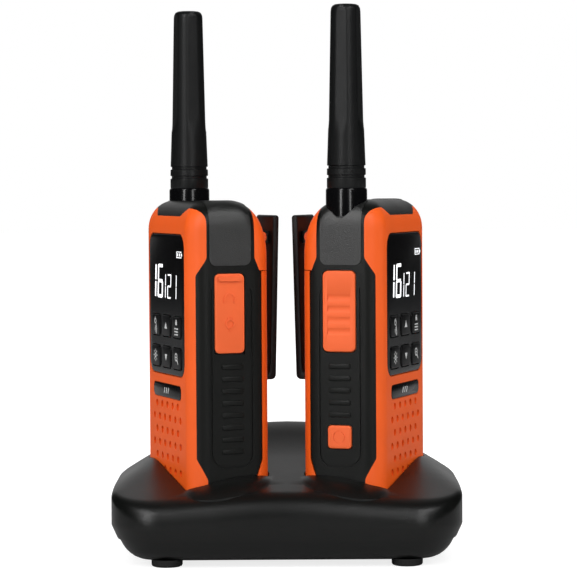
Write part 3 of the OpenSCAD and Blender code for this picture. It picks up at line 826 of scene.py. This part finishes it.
def draw_whip():
    """The rubber whip: two rings, a kink, then a tapering bar with flat faces."""
    low, tip = WHIP_LOW.z, WHIP_HIGH.z
    foot = WHIP_HIGH.x - ANTENNA_X
    profile = [(0, low), (foot - 0.1, low), (foot, low + 0.4), (foot, low + 3.5),
               (foot - 0.5, low + 3.7), (foot - 0.5, low + 4.5), (foot - 0.02, low + 4.7),
               (foot - 0.06, low + 6.9),
               (foot - 0.56, low + 7.1), (foot - 0.56, low + 7.9), (foot - 0.1, low + 8.1)]
    profile += [(foot - 0.1 - 0.46 * i / 6, low + 8.1 + 12.9 * i / 6) for i in range(1, 7)]
    kink = low + 21
    for i in range(1, 20):
        share = i / 19
        profile.append((6.42 - 0.92 * share, kink + 1.2 + (tip - 2.6 - kink - 1.2) * share))
    profile += [(5.3, tip - 1.5), (4.75, tip - 0.6), (3.9, tip - 0.12), (3.0, tip), (0, tip)]
    shape = lathe(profile, (ANTENNA_X, 0, 0), 96)
    for vert in shape.verts:
        height = vert.co.z
        if height > kink + 1:
            radius = 6.42 - 0.92 * (height - kink) / (tip - kink)
            flat = radius * 0.86
            vert.co.y = max(-flat, min(flat, vert.co.y))
            side = vert.co.x - ANTENNA_X
            vert.co.x = ANTENNA_X + max(-radius * 0.93, min(radius * 0.93, side))
    return shape


def draw_clip():
    """The clip's plate with its lip, a recess in its outer face and the barrel on its pin."""
    top, low, reach = CLIP_HIGH.z, CLIP_LOW.z, CLIP_HIGH.y
    half = CLIP_HIGH.x
    outline = fillet([(reach - 2.3, top, 0.9), (reach, top, 1.6), (reach - 1.5, low, 1.8),
                      (reach - 6.4, low, 0.8), (reach - 6.4, low + 1.7, 0.6),
                      (reach - 4.2, low + 2.4, 1.2), (reach - 3.8, low + 6, 2)], 5)
    shape = slab(outline, "X", -half, half)
    ends = [e for e in shape.edges if all(abs(abs(v.co.x) - half) < NEAR for v in e.verts)
            and abs(e.verts[0].co.x - e.verts[1].co.x) < NEAR]
    soften(shape, ends, 0.4, 3)
    shape = combine(shape, slab(rect(-half + 3.6, half - 3.6, low + 16, top - 12), "Y", reach - 1.1,
                                reach + 2, 2.4, 6))
    barrel = rod(2.3, 10.4, (-5.2, PIN_Y, PIN_Z), "X", 40)
    web = slab(rect(PIN_Y, reach - 1.8, PIN_Z - 2.2, PIN_Z + 2.2), "X", -5.2, 5.2)
    shape = combine(combine(shape, barrel, "UNION"), web, "UNION")
    return combine(shape, rod(1.06, 20, (-10, PIN_Y, PIN_Z), "X", 32))


# ---------------------------------------------------------------- printed signs and lit digits

def bar(x0, y0, x1, y1, width):
    """A straight stroke between two points."""
    a, b = Vector((x0, y0)), Vector((x1, y1))
    across = Vector((-(b - a).y, (b - a).x)).normalized() * width / 2
    return [a + across, a - across, b - across, b + across]


def arc(x, y, radius, start, stop, width, steps=20):
    """A curved stroke; a full turn is left a hair open."""
    stop = min(stop, start + 359)
    angles = [math.radians(start + (stop - start) * i / steps) for i in range(steps + 1)]

    def edge(reach, turns):
        return [Vector((x + reach * math.cos(a), y + reach * math.sin(a))) for a in turns]

    return edge(radius + width / 2, angles) + edge(radius - width / 2, reversed(angles))


def strokes(outlines, rise):
    """Flat signs in a plane, raised by rise."""
    shape = bmesh.new()
    for outline in outlines:
        pull(shape, [(p[0], p[1], 0) for p in outline], (0, 0, rise))
    return keep_outward(shape)


def on_front(y, x=0.0, z=0.0):
    """Takes a sign's plane to the front face: right stays right, up goes to Z."""
    return Matrix(((1, 0, 0, x), (0, 0, -1, y), (0, 1, 0, z), (0, 0, 0, 1)))


def on_right_flank(x, y, z):
    return Matrix(((0, 0, 1, x), (1, 0, 0, y), (0, 1, 0, z), (0, 0, 0, 1)))


SEGMENTS = {"1": "bc", "2": "abged", "6": "acdefg"}


def digit(sign, x, z, width, height, stroke):
    """A slanted seven-bar digit whose lower left corner is at x, z."""
    slant = 0.08
    gap = stroke * 0.28
    mid, w, h, t = height / 2, width, height, stroke
    bars = {
        "a": (t * 0.6, h - t / 2, w - t * 0.6, h - t / 2),
        "g": (t * 0.6, mid, w - t * 0.6, mid),
        "d": (t * 0.6, t / 2, w - t * 0.6, t / 2),
        "f": (t / 2, mid + gap, t / 2, h - gap), "b": (w - t / 2, mid + gap, w - t / 2, h - gap),
        "e": (t / 2, gap, t / 2, mid - gap), "c": (w - t / 2, gap, w - t / 2, mid - gap),
    }
    made = []
    for name in SEGMENTS[sign]:
        x0, y0, x1, y1 = bars[name]
        outline = bar(x0, y0, x1, y1, stroke)
        made.append([Vector((x + p.x + slant * p.y, z + p.y)) for p in outline])
    return made


def draw_digits():
    """A channel number, a smaller code and a battery sign."""
    marks = digit("1", -14.4, 94.9, 1.2, 12.4, 1.2) + digit("6", -11.2, 94.9, 6.4, 12.4, 1.2)
    marks += digit("1", -1.8, 94.9, 0.55, 8.9, 0.55) + digit("2", 1.0, 94.9, 4.3, 8.9, 0.55)
    marks += digit("1", 11.4, 94.9, 0.55, 8.9, 0.55)
    marks += [bar(13.0, 110.1, 18.4, 110.1, 0.22), bar(13.0, 112.2, 18.4, 112.2, 0.22),
              bar(13.0, 110.0, 13.0, 112.3, 0.3), bar(18.4, 110.0, 18.4, 112.3, 0.3),
              bar(19.1, 110.7, 19.1, 111.6, 0.5)]
    marks += [bar(14.4 + i * 2.2, 110.6, 14.4 + i * 2.2, 111.7, 0.7) for i in range(2)]
    shape = strokes(marks, 0.05)
    bmesh.ops.transform(shape, matrix=on_front(-HALF_D - 0.01), verts=shape.verts)
    return shape


def sign_outlines(name):
    """A plain sign for each key, round its own centre."""
    if name == "call_key":
        return [arc(0, 1.4, 0.95, 125, 415, 0.4), bar(0, 1.5, 0, 2.8, 0.4)] + [
            arc(-1.2, -1.6, 0.8 + i * 0.95, -42, 42, 0.4, 8) for i in range(3)]
    if name == "up_key":
        return [[Vector((-1.5, -1.0)), Vector((1.5, -1.0)), Vector((0, 1.4))]]
    if name == "down_key":
        return [[Vector((-1.5, 1.0)), Vector((0, -1.4)), Vector((1.5, 1.0))]]
    if name == "menu_key":
        return [bar(-0.9, 1.5, 0.9, 1.5, 1.3), arc(0, 2.1, 0.6, 0, 180, 0.35, 10)] + [
            bar(-2.1, -0.5 - i * 1.05, 2.1, -0.5 - i * 1.05, 0.45) for i in range(3)]
    if name == "lamp_key":
        rays = [math.radians(a) for a in range(0, 360, 45)]
        return [arc(0, 0, 0.75, 0, 360, 0.5)] + [
            bar(1.5 * math.cos(a), 1.5 * math.sin(a), 2.3 * math.cos(a), 2.3 * math.sin(a), 0.38)
            for a in rays]
    return [arc(-0.4, 0.6, 1.3, 0, 360, 0.42), bar(0.6, -0.45, 2.0, -1.9, 0.5),
            bar(-1.1, 0.6, 0.3, 0.6, 0.4)]


def draw_key_sign(name):
    low, high = KEY_BOXES[name]
    shape = strokes(sign_outlines(name), 0.05)
    place = on_front(low.y - 0.01, (low.x + high.x) / 2, (low.z + high.z) / 2)
    bmesh.ops.transform(shape, matrix=place, verts=shape.verts)
    return shape


def draw_plate_mark():
    """A plain row of slanted bars where a maker would put a mark."""
    z = (PLATE_LOW.z + PLATE_HIGH.z) / 2
    marks = [bar(-3.6 + i * 2.4, -1.0, -2.6 + i * 2.4, 1.0, 0.7) for i in range(3)]
    shape = strokes(marks, 0.05)
    bmesh.ops.transform(shape, matrix=on_front(PLATE_LOW.y - 0.01, 0, z), verts=shape.verts)
    return shape


# ---------------------------------------------------------------- dock pieces

WAIST_RISE = 5.0
DOOR_TRAVEL = 6.4


def blend_low(a, b, soft=3.0):
    """The lower of two heights, rounded where they cross."""
    share = max(soft - abs(a - b), 0.0) / soft
    return min(a, b) - share * share * soft / 4


def dock_height(x, y):
    """Height of the dock's top at a place in plan."""
    sag = 3.2 * (1 - math.exp(-(x / 32) ** 2))
    rise = 27.9 + 0.25 * (y + 32) + 0.0045 * max(y, 0.0) ** 2 - sag
    crest = DOCK_HIGH.z - 0.2 - 0.0045 * x * x
    back = crest - 0.085 * max(y - 30.0, 0.0) ** 2
    fall = 35.5 - 0.68 * (abs(x) - 50.8)
    return blend_low(blend_low(rise, back, 4.0), fall, 2.5)


def plan_ring(inset_x=0.0, inset_y=0.0):
    """The dock's outline in plan, drawn in at its ends and at its front and back."""
    corner = bpy.context.scene.dock_sizes.corner - (inset_x + inset_y) / 2
    return ring_points(DOCK_HIGH.x - inset_x, DOCK_HIGH.y - inset_y, DOCK_HIGH.y - inset_y,
                       corner)


def outline_normals(outline):
    """Outward directions all round an outline."""
    count = len(outline)
    normals = []
    for i in range(count):
        along = (outline[(i + 1) % count] - outline[i - 1]).normalized()
        normals.append(Vector((along.y, -along.x)))
    return normals


def dock_form():
    """The upper shell as a closed form, its shoulder rounded into the top."""
    sizes = bpy.context.scene.dock_sizes
    outline = plan_ring()
    walls, rims, inner = [], [], []
    for point, out in zip(outline, outline_normals(outline)):
        side = sizes.front_round if out.y < 0 else sizes.back_round
        radius = sizes.end_round + (side - sizes.end_round) * out.y ** 2
        place = point - out * radius * 0.6
        slope = dock_height(*(place - out)) - dock_height(*place)
        turn = math.radians(90) - math.atan(max(slope, 0.0))
        end = point - out * radius * (1 - math.cos(turn))
        rim = dock_height(end.x, end.y)
        walls.append((point, out, radius, turn, rim))
        rims.append(rim - radius * math.sin(turn))
        inner.append(end)
    waist = SEAM + WAIST_RISE
    rings = [(SEAM, plan_ring(2.4, 0.8)), (SEAM + 0.4, plan_ring(2.1, 0.7)),
             (waist - 0.8, plan_ring(0.3, 0.1)), (waist, outline)]
    for i in range(1, 6):
        rings.append(([waist + (top - waist) * i / 5 for top in rims], outline))
    for i in range(1, 11):
        heights, ring = [], []
        for point, out, radius, turn, rim in walls:
            angle = turn * i / 10
            heights.append(rim - radius * (math.sin(turn) - math.sin(angle)))
            ring.append(point - out * radius * (1 - math.cos(angle)))
        rings.append((heights, ring))
    for i in range(1, 34):
        ring = [p * (1 - i / 34) for p in inner]
        rings.append(([dock_height(p.x, p.y) for p in ring], ring))
    return stacked(rings)


def well_slab(side, grow, low, high):
    shape = slab(rect(-HALF_W - grow, HALF_W + grow, -HALF_D - grow, HALF_D + grow), "Z", low, high,
                 bpy.context.scene.radio_sizes.corner + grow, 10)
    bmesh.ops.transform(shape, matrix=place_mm(side), verts=shape.verts)
    return shape


def door_slot(side, gap):
    """Room under the battery door, so that it can slide down."""
    slot = slab(rect(-HALF_W - gap, HALF_W + gap, DOOR_LOW.y - gap, HALF_D + gap), "Z",
                FOOT - DOOR_TRAVEL, FOOT + 1)
    bmesh.ops.transform(slot, matrix=place_mm(side), verts=slot.verts)
    return combine(slot, well_slab(side, gap, FOOT - 8, FOOT + 2), "INTERSECT")


def place_mm(side):
    """A radio's place, for shapes still drawn in millimetres."""
    matrix = RADIO[side].copy()
    matrix.translation = matrix.translation / MM
    return matrix


def cheek_form(side):
    """The raised cheek beside the flank that faces the user."""
    reach, along, rise = bpy.context.scene.dock_sizes.cheek
    flank = HALF_W if side == "left" else -HALF_W
    place = place_mm(side)

    def ring(share):
        points = []
        for i in range(72):
            angle = math.tau * i / 72
            local = Vector((flank + reach * share * math.cos(angle),
                            -1.5 + along * share * math.sin(angle), 0))
            points.append((place @ local).to_2d())
        return points

    rings = [(SEAM + 2, ring(1.0))]
    for i in range(0, 12):
        share = 1 - i / 12
        points = ring(share)
        rings.append(([dock_height(p.x, p.y) - 0.05 + rise * (1 - share ** 3) for p in points],
                      points))
    return stacked(rings)


def draw_dock_top():
    gap = bpy.context.scene.dock_sizes.well_gap
    shape = dock_form()
    for side in SIDES:
        shape = combine(shape, cheek_form(side), "UNION")
        shape = combine(shape, well_slab(side, gap, FOOT - 0.3, 90))
        shape = combine(shape, door_slot(side, gap))
    return combine(shape, slab(rect(-4.9, 4.9, 13.9, 17.5), "Y", 34, 50, 1.4))


# inset at the ends, inset at the front and back, depth below the seam
BASE_STEPS = [(2.9, 1.2, 0.0), (3.3, 1.3, 0.7), (4.2, 1.9, 2.3), (5.2, 2.7, 3.7), (6.5, 3.9, 5.0),
              (8.2, 5.4, 6.2), (10.0, 7.0, 6.95), (11.6, 8.6, 7.25), (12.8, 9.8, 7.3)]


DOCK_SCREW_SPOTS = ((-45.5, -20), (45.5, -20), (-12, 29), (12, 29))


def draw_dock_base():
    rings = []
    for inset_x, inset_y, drop in reversed(BASE_STEPS):
        rings.append((SEAM - drop, plan_ring(inset_x, inset_y)))
    shape = stacked(rings)
    for spot_x, spot_y in DOCK_SCREW_SPOTS:
        shape = combine(shape, rod(3.1, 1.6, (spot_x, spot_y, BASE_LOW.z - 0.3)))
    for side in SIDES:
        shape = combine(shape, door_slot(side, bpy.context.scene.dock_sizes.well_gap))
    return shape


def draw_foot(x, y):
    return lathe([(0, 0), (4.7, 0), (5.3, 0.25), (5.6, 0.8), (5.6, 2.6), (0, 2.6)], (x, y, 0), 48)


# ---------------------------------------------------------------- operators

class RADIO_OT_front_cases(bpy.types.Operator):
    """Orange front cases with their speaker holes"""
    bl_idname = "radio.front_cases"
    bl_label = "Front cases"

    def execute(self, context):
        edge = context.scene.radio_sizes.edge
        radio_pieces(draw_front_case, "front_shell", "radio", "orange shell",
                     "orange_shell", ["front_case"], edge=edge)
        return {"FINISHED"}


class RADIO_OT_grip_frames(bpy.types.Operator):
    """Black grip frames with their ridges, grooves and rough neck panels"""
    bl_idname = "radio.grip_frames"
    bl_label = "Grip frames"

    def execute(self, context):
        edge = context.scene.radio_sizes.edge
        radio_pieces(draw_side_frame, "grip_frame", "radio", "grip plastic",
                     "black_grip", ["side_frame"], edge=edge * 0.7)
        for flank, name in ((1, "cover"), (-1, "talk")):
            radio_pieces(lambda flank=flank: draw_neck_panel(flank), "neck_panel_" + name,
                         "radio", "neck texture", "black_grip", edge=0.15)
        return {"FINISHED"}


class RADIO_OT_rear_cases(bpy.types.Operator):
    """Orange rear cases and the battery doors below them"""
    bl_idname = "radio.rear_cases"
    bl_label = "Rear cases"

    def execute(self, context):
        edge = context.scene.radio_sizes.edge
        radio_pieces(draw_rear_case, "rear_shell", "radio", "orange shell",
                     "orange_shell", ["rear_case"], edge=edge * 0.8)
        radio_pieces(draw_battery_door, "door_panel", "battery_door",
                     "orange shell", "orange_shell", ["battery_door"],
                     edge=edge * 0.8)
        return {"FINISHED"}


class RADIO_OT_fronts(bpy.types.Operator):
    """Gloss windows, lit digits and name plates"""
    bl_idname = "radio.fronts"
    bl_label = "Windows and plates"

    def execute(self, context):
        radio_pieces(draw_window, "window", "radio", "gloss black",
                     "gloss_black", ["display_window"], edge=0.12)
        radio_pieces(draw_digits, "digits", "radio", "lit segments", "lcd_glass")
        radio_pieces(draw_plate, "plate", "radio", "gloss black",
                     "gloss_black", ["name_plate"])
        radio_pieces(draw_plate_mark, "plate_mark", "radio", "print white",
                     "gloss_black")
        return {"FINISHED"}


class RADIO_OT_keys(bpy.types.Operator):
    """Front keys with their printed signs"""
    bl_idname = "radio.keys"
    bl_label = "Keys"

    def execute(self, context):
        for name in KEY_NAMES:
            radio_pieces(lambda name=name: draw_key(name), name + "_cap",
                         name, "key rubber", "key_rubber", [name])
            radio_pieces(lambda name=name: draw_key_sign(name), name + "_sign",
                         name, "print white", "key_rubber")
        return {"FINISHED"}


class RADIO_OT_side_controls(bpy.types.Operator):
    """Push-to-talk bars, alarm buttons and accessory covers"""
    bl_idname = "radio.side_controls"
    bl_label = "Side controls"

    def execute(self, context):
        rubber = "orange rubber"
        radio_pieces(draw_ptt, "talk_bar", "ptt_button", rubber, "orange_rubber",
                     ["ptt_button"])
        radio_pieces(draw_alarm, "alarm_cap", "alarm_button", rubber, "orange_rubber",
                     ["alarm_button"])
        radio_pieces(draw_cover, "cover_flap", "jack_cover", rubber, "orange_rubber",
                     ["jack_cover"], edge=0.12)
        return {"FINISHED"}


class RADIO_OT_antennas(bpy.types.Operator):
    """Rubber whips and their gloss collars"""
    bl_idname = "radio.antennas"
    bl_label = "Antennas"

    def execute(self, context):
        radio_pieces(draw_whip, "whip", "radio", "antenna rubber",
                     "antenna_rubber", ["antenna_whip"])
        radio_pieces(draw_collar, "collar", "radio", "gloss black",
                     "gloss_black", ["antenna_collar"])
        return {"FINISHED"}


class RADIO_OT_belt_clips(bpy.types.Operator):
    """Sprung belt clips"""
    bl_idname = "radio.belt_clips"
    bl_label = "Belt clips"

    def execute(self, context):
        radio_pieces(draw_clip, "clip", "belt_clip", "clip plastic",
                     "black_plastic", ["belt_clip"], edge=0.25)
        return {"FINISHED"}


class RADIO_OT_dock(bpy.types.Operator):
    """Charging dock: upper shell, lower shell and feet"""
    bl_idname = "radio.dock"
    bl_label = "Dock"

    def execute(self, context):
        piece(draw_dock_top(), "dock_upper", "dock", "dock plastic", "dock_plastic",
              replaces=["dock_top_shell"], edge=0.5, edge_segments=3)
        piece(draw_dock_base(), "dock_lower", "dock", "dock plastic", "dock_plastic",
              replaces=["dock_base"], edge=0.3)
        feet = [draw_foot(x, y) for x in (-43, 43) for y in (-31, 31)]
        piece(join(*feet), "dock_foot_pads", "dock", "foot rubber", "foot_rubber",
              replaces=["dock_feet"])
        return {"FINISHED"}


INNER_FINISHES = {
    "lcd_module": "panel glass", "main_board": "circuit board", "speaker": "speaker frame",
    "headset_jack": "socket plastic", "clip_pin": "steel", "battery_pack": "battery wrap",
    "charge_contacts": "gold plate", "case_screws": "steel", "dock_contact_pins": "gold plate",
    "dock_board": "circuit board", "dock_screws": "steel", "dock_power_socket": "steel",
}


class RADIO_OT_inner_parts(bpy.types.Operator):
    """Finishes for the working parts that keep their own shapes"""
    bl_idname = "radio.inner_parts"
    bl_label = "Working parts"

    def execute(self, context):
        for node, thing in frame["nodes"].items():
            plain = node.split("_", 1)[1] if node.startswith(("left_", "right_")) else node
            if plain in INNER_FINISHES:
                thing.data.materials.clear()
                thing.data.materials.append(finish(INNER_FINISHES[plain]))
        return {"FINISHED"}


# direction, dot product where the band starts and where it is full, strength
REFLECTED_BANDS = (((0, 0.95, 0.3), 0.82, 0.96, 0.7), ((0, 0.6, 0.8), 0.85, 0.98, 0.3))
BAND_FLOOR = 0.02
FLOOR_SIZE = 6
FADE_REACH = (0.09, 0.4)
LAMP_TARGET = (0, 0, 0.09)
# name, place, size, power in watts, seen in reflections
LAMPS = (
    ("left box", (-0.95, -0.3, 0.42), (0.35, 0.9), 4.6, False),
    ("right box", (0.95, -0.3, 0.42), (0.35, 0.9), 4.6, False),
    ("front fill", (0, -1.3, 0.7), (1.0, 0.6), 1.6, False),
    ("top fill", (0, 0.1, 1.1), (1.0, 0.6), 2.2, False),
    ("left strip", (-0.5, -0.82, 0.5), (0.11, 0.8), 3.4, True),
    ("right strip", (0.34, -0.9, 0.5), (0.11, 0.8), 2.4, True),
    ("back fill", (0, 1.2, 0.8), (1.2, 0.6), 7, False),
    ("left upper box", (-0.4, -0.55, 0.85), (0.22, 0.18), 1.5, True),
    ("right upper box", (0.4, -0.55, 0.85), (0.22, 0.18), 1.5, True),
)


def softbox(name, place, size, power, reflected):
    light = bpy.data.lights.new(name, "AREA")
    light.shape = "RECTANGLE"
    light.size, light.size_y = size
    light.energy = power
    made = bpy.data.objects.new(name, light)
    made.location = place
    aim = Vector(LAMP_TARGET) - Vector(place)
    made.rotation_euler = aim.to_track_quat("-Z", "Y").to_euler()
    made.visible_glossy = reflected
    bpy.context.scene.collection.objects.link(made)


def make_world():
    """White to the camera, a dim fill as a light, and two soft bands in reflections."""
    world = bpy.data.worlds.new("studio")
    world.use_nodes = True
    tree = world.node_tree
    backdrop = tree.nodes["Background"]
    fill_sockets(tree, backdrop.inputs, {"Color": (1, 1, 1, 1), "Strength": 1.0})
    fill = put(tree, "Background", {"Color": (0.95, 0.97, 1, 1), "Strength": 0.1})
    way = put(tree, "TexCoord").outputs["Generated"]
    bands = []
    for direction, low, high, strength in REFLECTED_BANDS:
        aim = put(tree, "VectorMath", {0: way, 1: direction}, operation="DOT_PRODUCT")
        band = put(tree, "MapRange", {
            "Value": aim.outputs["Value"], "From Min": low, "From Max": high,
            "To Min": BAND_FLOOR, "To Max": strength}, interpolation_type="SMOOTHSTEP")
        bands.append(band.outputs["Result"])
    mirrored = put(tree, "Background", {"Strength": maths(tree, "MAXIMUM", *bands)})
    path = put(tree, "LightPath").outputs
    unseen = put(tree, "MixShader", {"Fac": path["Is Glossy Ray"], 1: fill.outputs["Background"],
                                     2: mirrored.outputs["Background"]})
    mix = put(tree, "MixShader", {"Fac": path["Is Camera Ray"], 1: unseen.outputs["Shader"],
                                  2: backdrop.outputs["Background"]})
    tree.links.new(mix.outputs["Shader"], tree.nodes["World Output"].inputs["Surface"])
    bpy.context.scene.world = world


def make_floor():
    """A pale floor that fades to white away from the set."""
    shape = bmesh.new()
    bmesh.ops.create_grid(shape, x_segments=2, y_segments=2, size=FLOOR_SIZE)
    floor = loose_object(shape, "floor")
    material = bpy.data.materials.new("pale floor")
    material.use_nodes = True
    tree = material.node_tree
    place = put(tree, "TexCoord").outputs["Object"]
    reach = put(tree, "VectorMath", {0: place}, operation="LENGTH")
    fade = put(tree, "MapRange", {
        "Value": reach.outputs["Value"], "From Min": FADE_REACH[0], "From Max": FADE_REACH[1],
        "To Min": 0.8, "To Max": 1.0}, interpolation_type="SMOOTHSTEP")
    path = put(tree, "LightPath").outputs
    fill_sockets(tree, tree.nodes["Principled BSDF"].inputs, {
        "Base Color": (0.4, 0.4, 0.4, 1), "Roughness": 0.8, "Specular IOR Level": 0.05,
        "Emission Strength": 1.0,
        "Emission Color": maths(tree, "MULTIPLY", fade.outputs["Result"], path["Is Camera Ray"])})
    floor.data.materials.append(material)


class RADIO_OT_stage(bpy.types.Operator):
    """Pale floor, soft studio light and the camera"""
    bl_idname = "radio.stage"
    bl_label = "Stage"

    def execute(self, context):
        settings = context.scene.stage_settings
        make_world()
        make_floor()
        for lamp in LAMPS:
            softbox(*lamp)
        camera = bpy.data.cameras.new("camera")
        camera.sensor_width = 36
        camera.lens = settings.lens
        view = bpy.data.objects.new("camera", camera)
        view.location = (settings.offset, -settings.distance, settings.height)
        view.rotation_euler = (math.radians(90) - settings.pitch, settings.roll, 0)
        context.scene.collection.objects.link(view)
        context.scene.camera = view
        context.scene.view_settings.view_transform = "Standard"
        return {"FINISHED"}


STEPS = (
    RADIO_OT_stage, RADIO_OT_front_cases, RADIO_OT_grip_frames, RADIO_OT_rear_cases,
    RADIO_OT_fronts, RADIO_OT_keys, RADIO_OT_side_controls, RADIO_OT_antennas,
    RADIO_OT_belt_clips, RADIO_OT_dock, RADIO_OT_inner_parts,
)
GROUPS_OF_SETTINGS = (
    ("radio_sizes", RadioSizes), ("dock_sizes", DockSizes), ("finish_colours", FinishColours),
    ("stage_settings", StageSettings),
)


class RADIO_PT_panel(bpy.types.Panel):
    """Lists the building steps and their settings"""
    bl_label = "Two Way Radio Set"
    bl_idname = "RADIO_PT_panel"
    bl_space_type = "VIEW_3D"
    bl_region_type = "UI"
    bl_category = "Radio"

    def draw(self, context):
        for step in STEPS:
            self.layout.operator(step.bl_idname)
        for name, group in GROUPS_OF_SETTINGS:
            settings = getattr(context.scene, name)
            for field in group.__annotations__:
                self.layout.prop(settings, field)


def register():
    for name, group in GROUPS_OF_SETTINGS:
        bpy.utils.register_class(group)
        setattr(bpy.types.Scene, name, bpy.props.PointerProperty(type=group))
    for kind in (*STEPS, RADIO_PT_panel):
        bpy.utils.register_class(kind)


def unregister():
    for kind in (RADIO_PT_panel, *reversed(STEPS)):
        bpy.utils.unregister_class(kind)
    for name, group in reversed(GROUPS_OF_SETTINGS):
        delattr(bpy.types.Scene, name)
        bpy.utils.unregister_class(group)


def main():
    register()
    for step in STEPS:
        family, action = step.bl_idname.split(".")
        getattr(getattr(bpy.ops, family), action)()


if __name__ == "__main__":
    main()
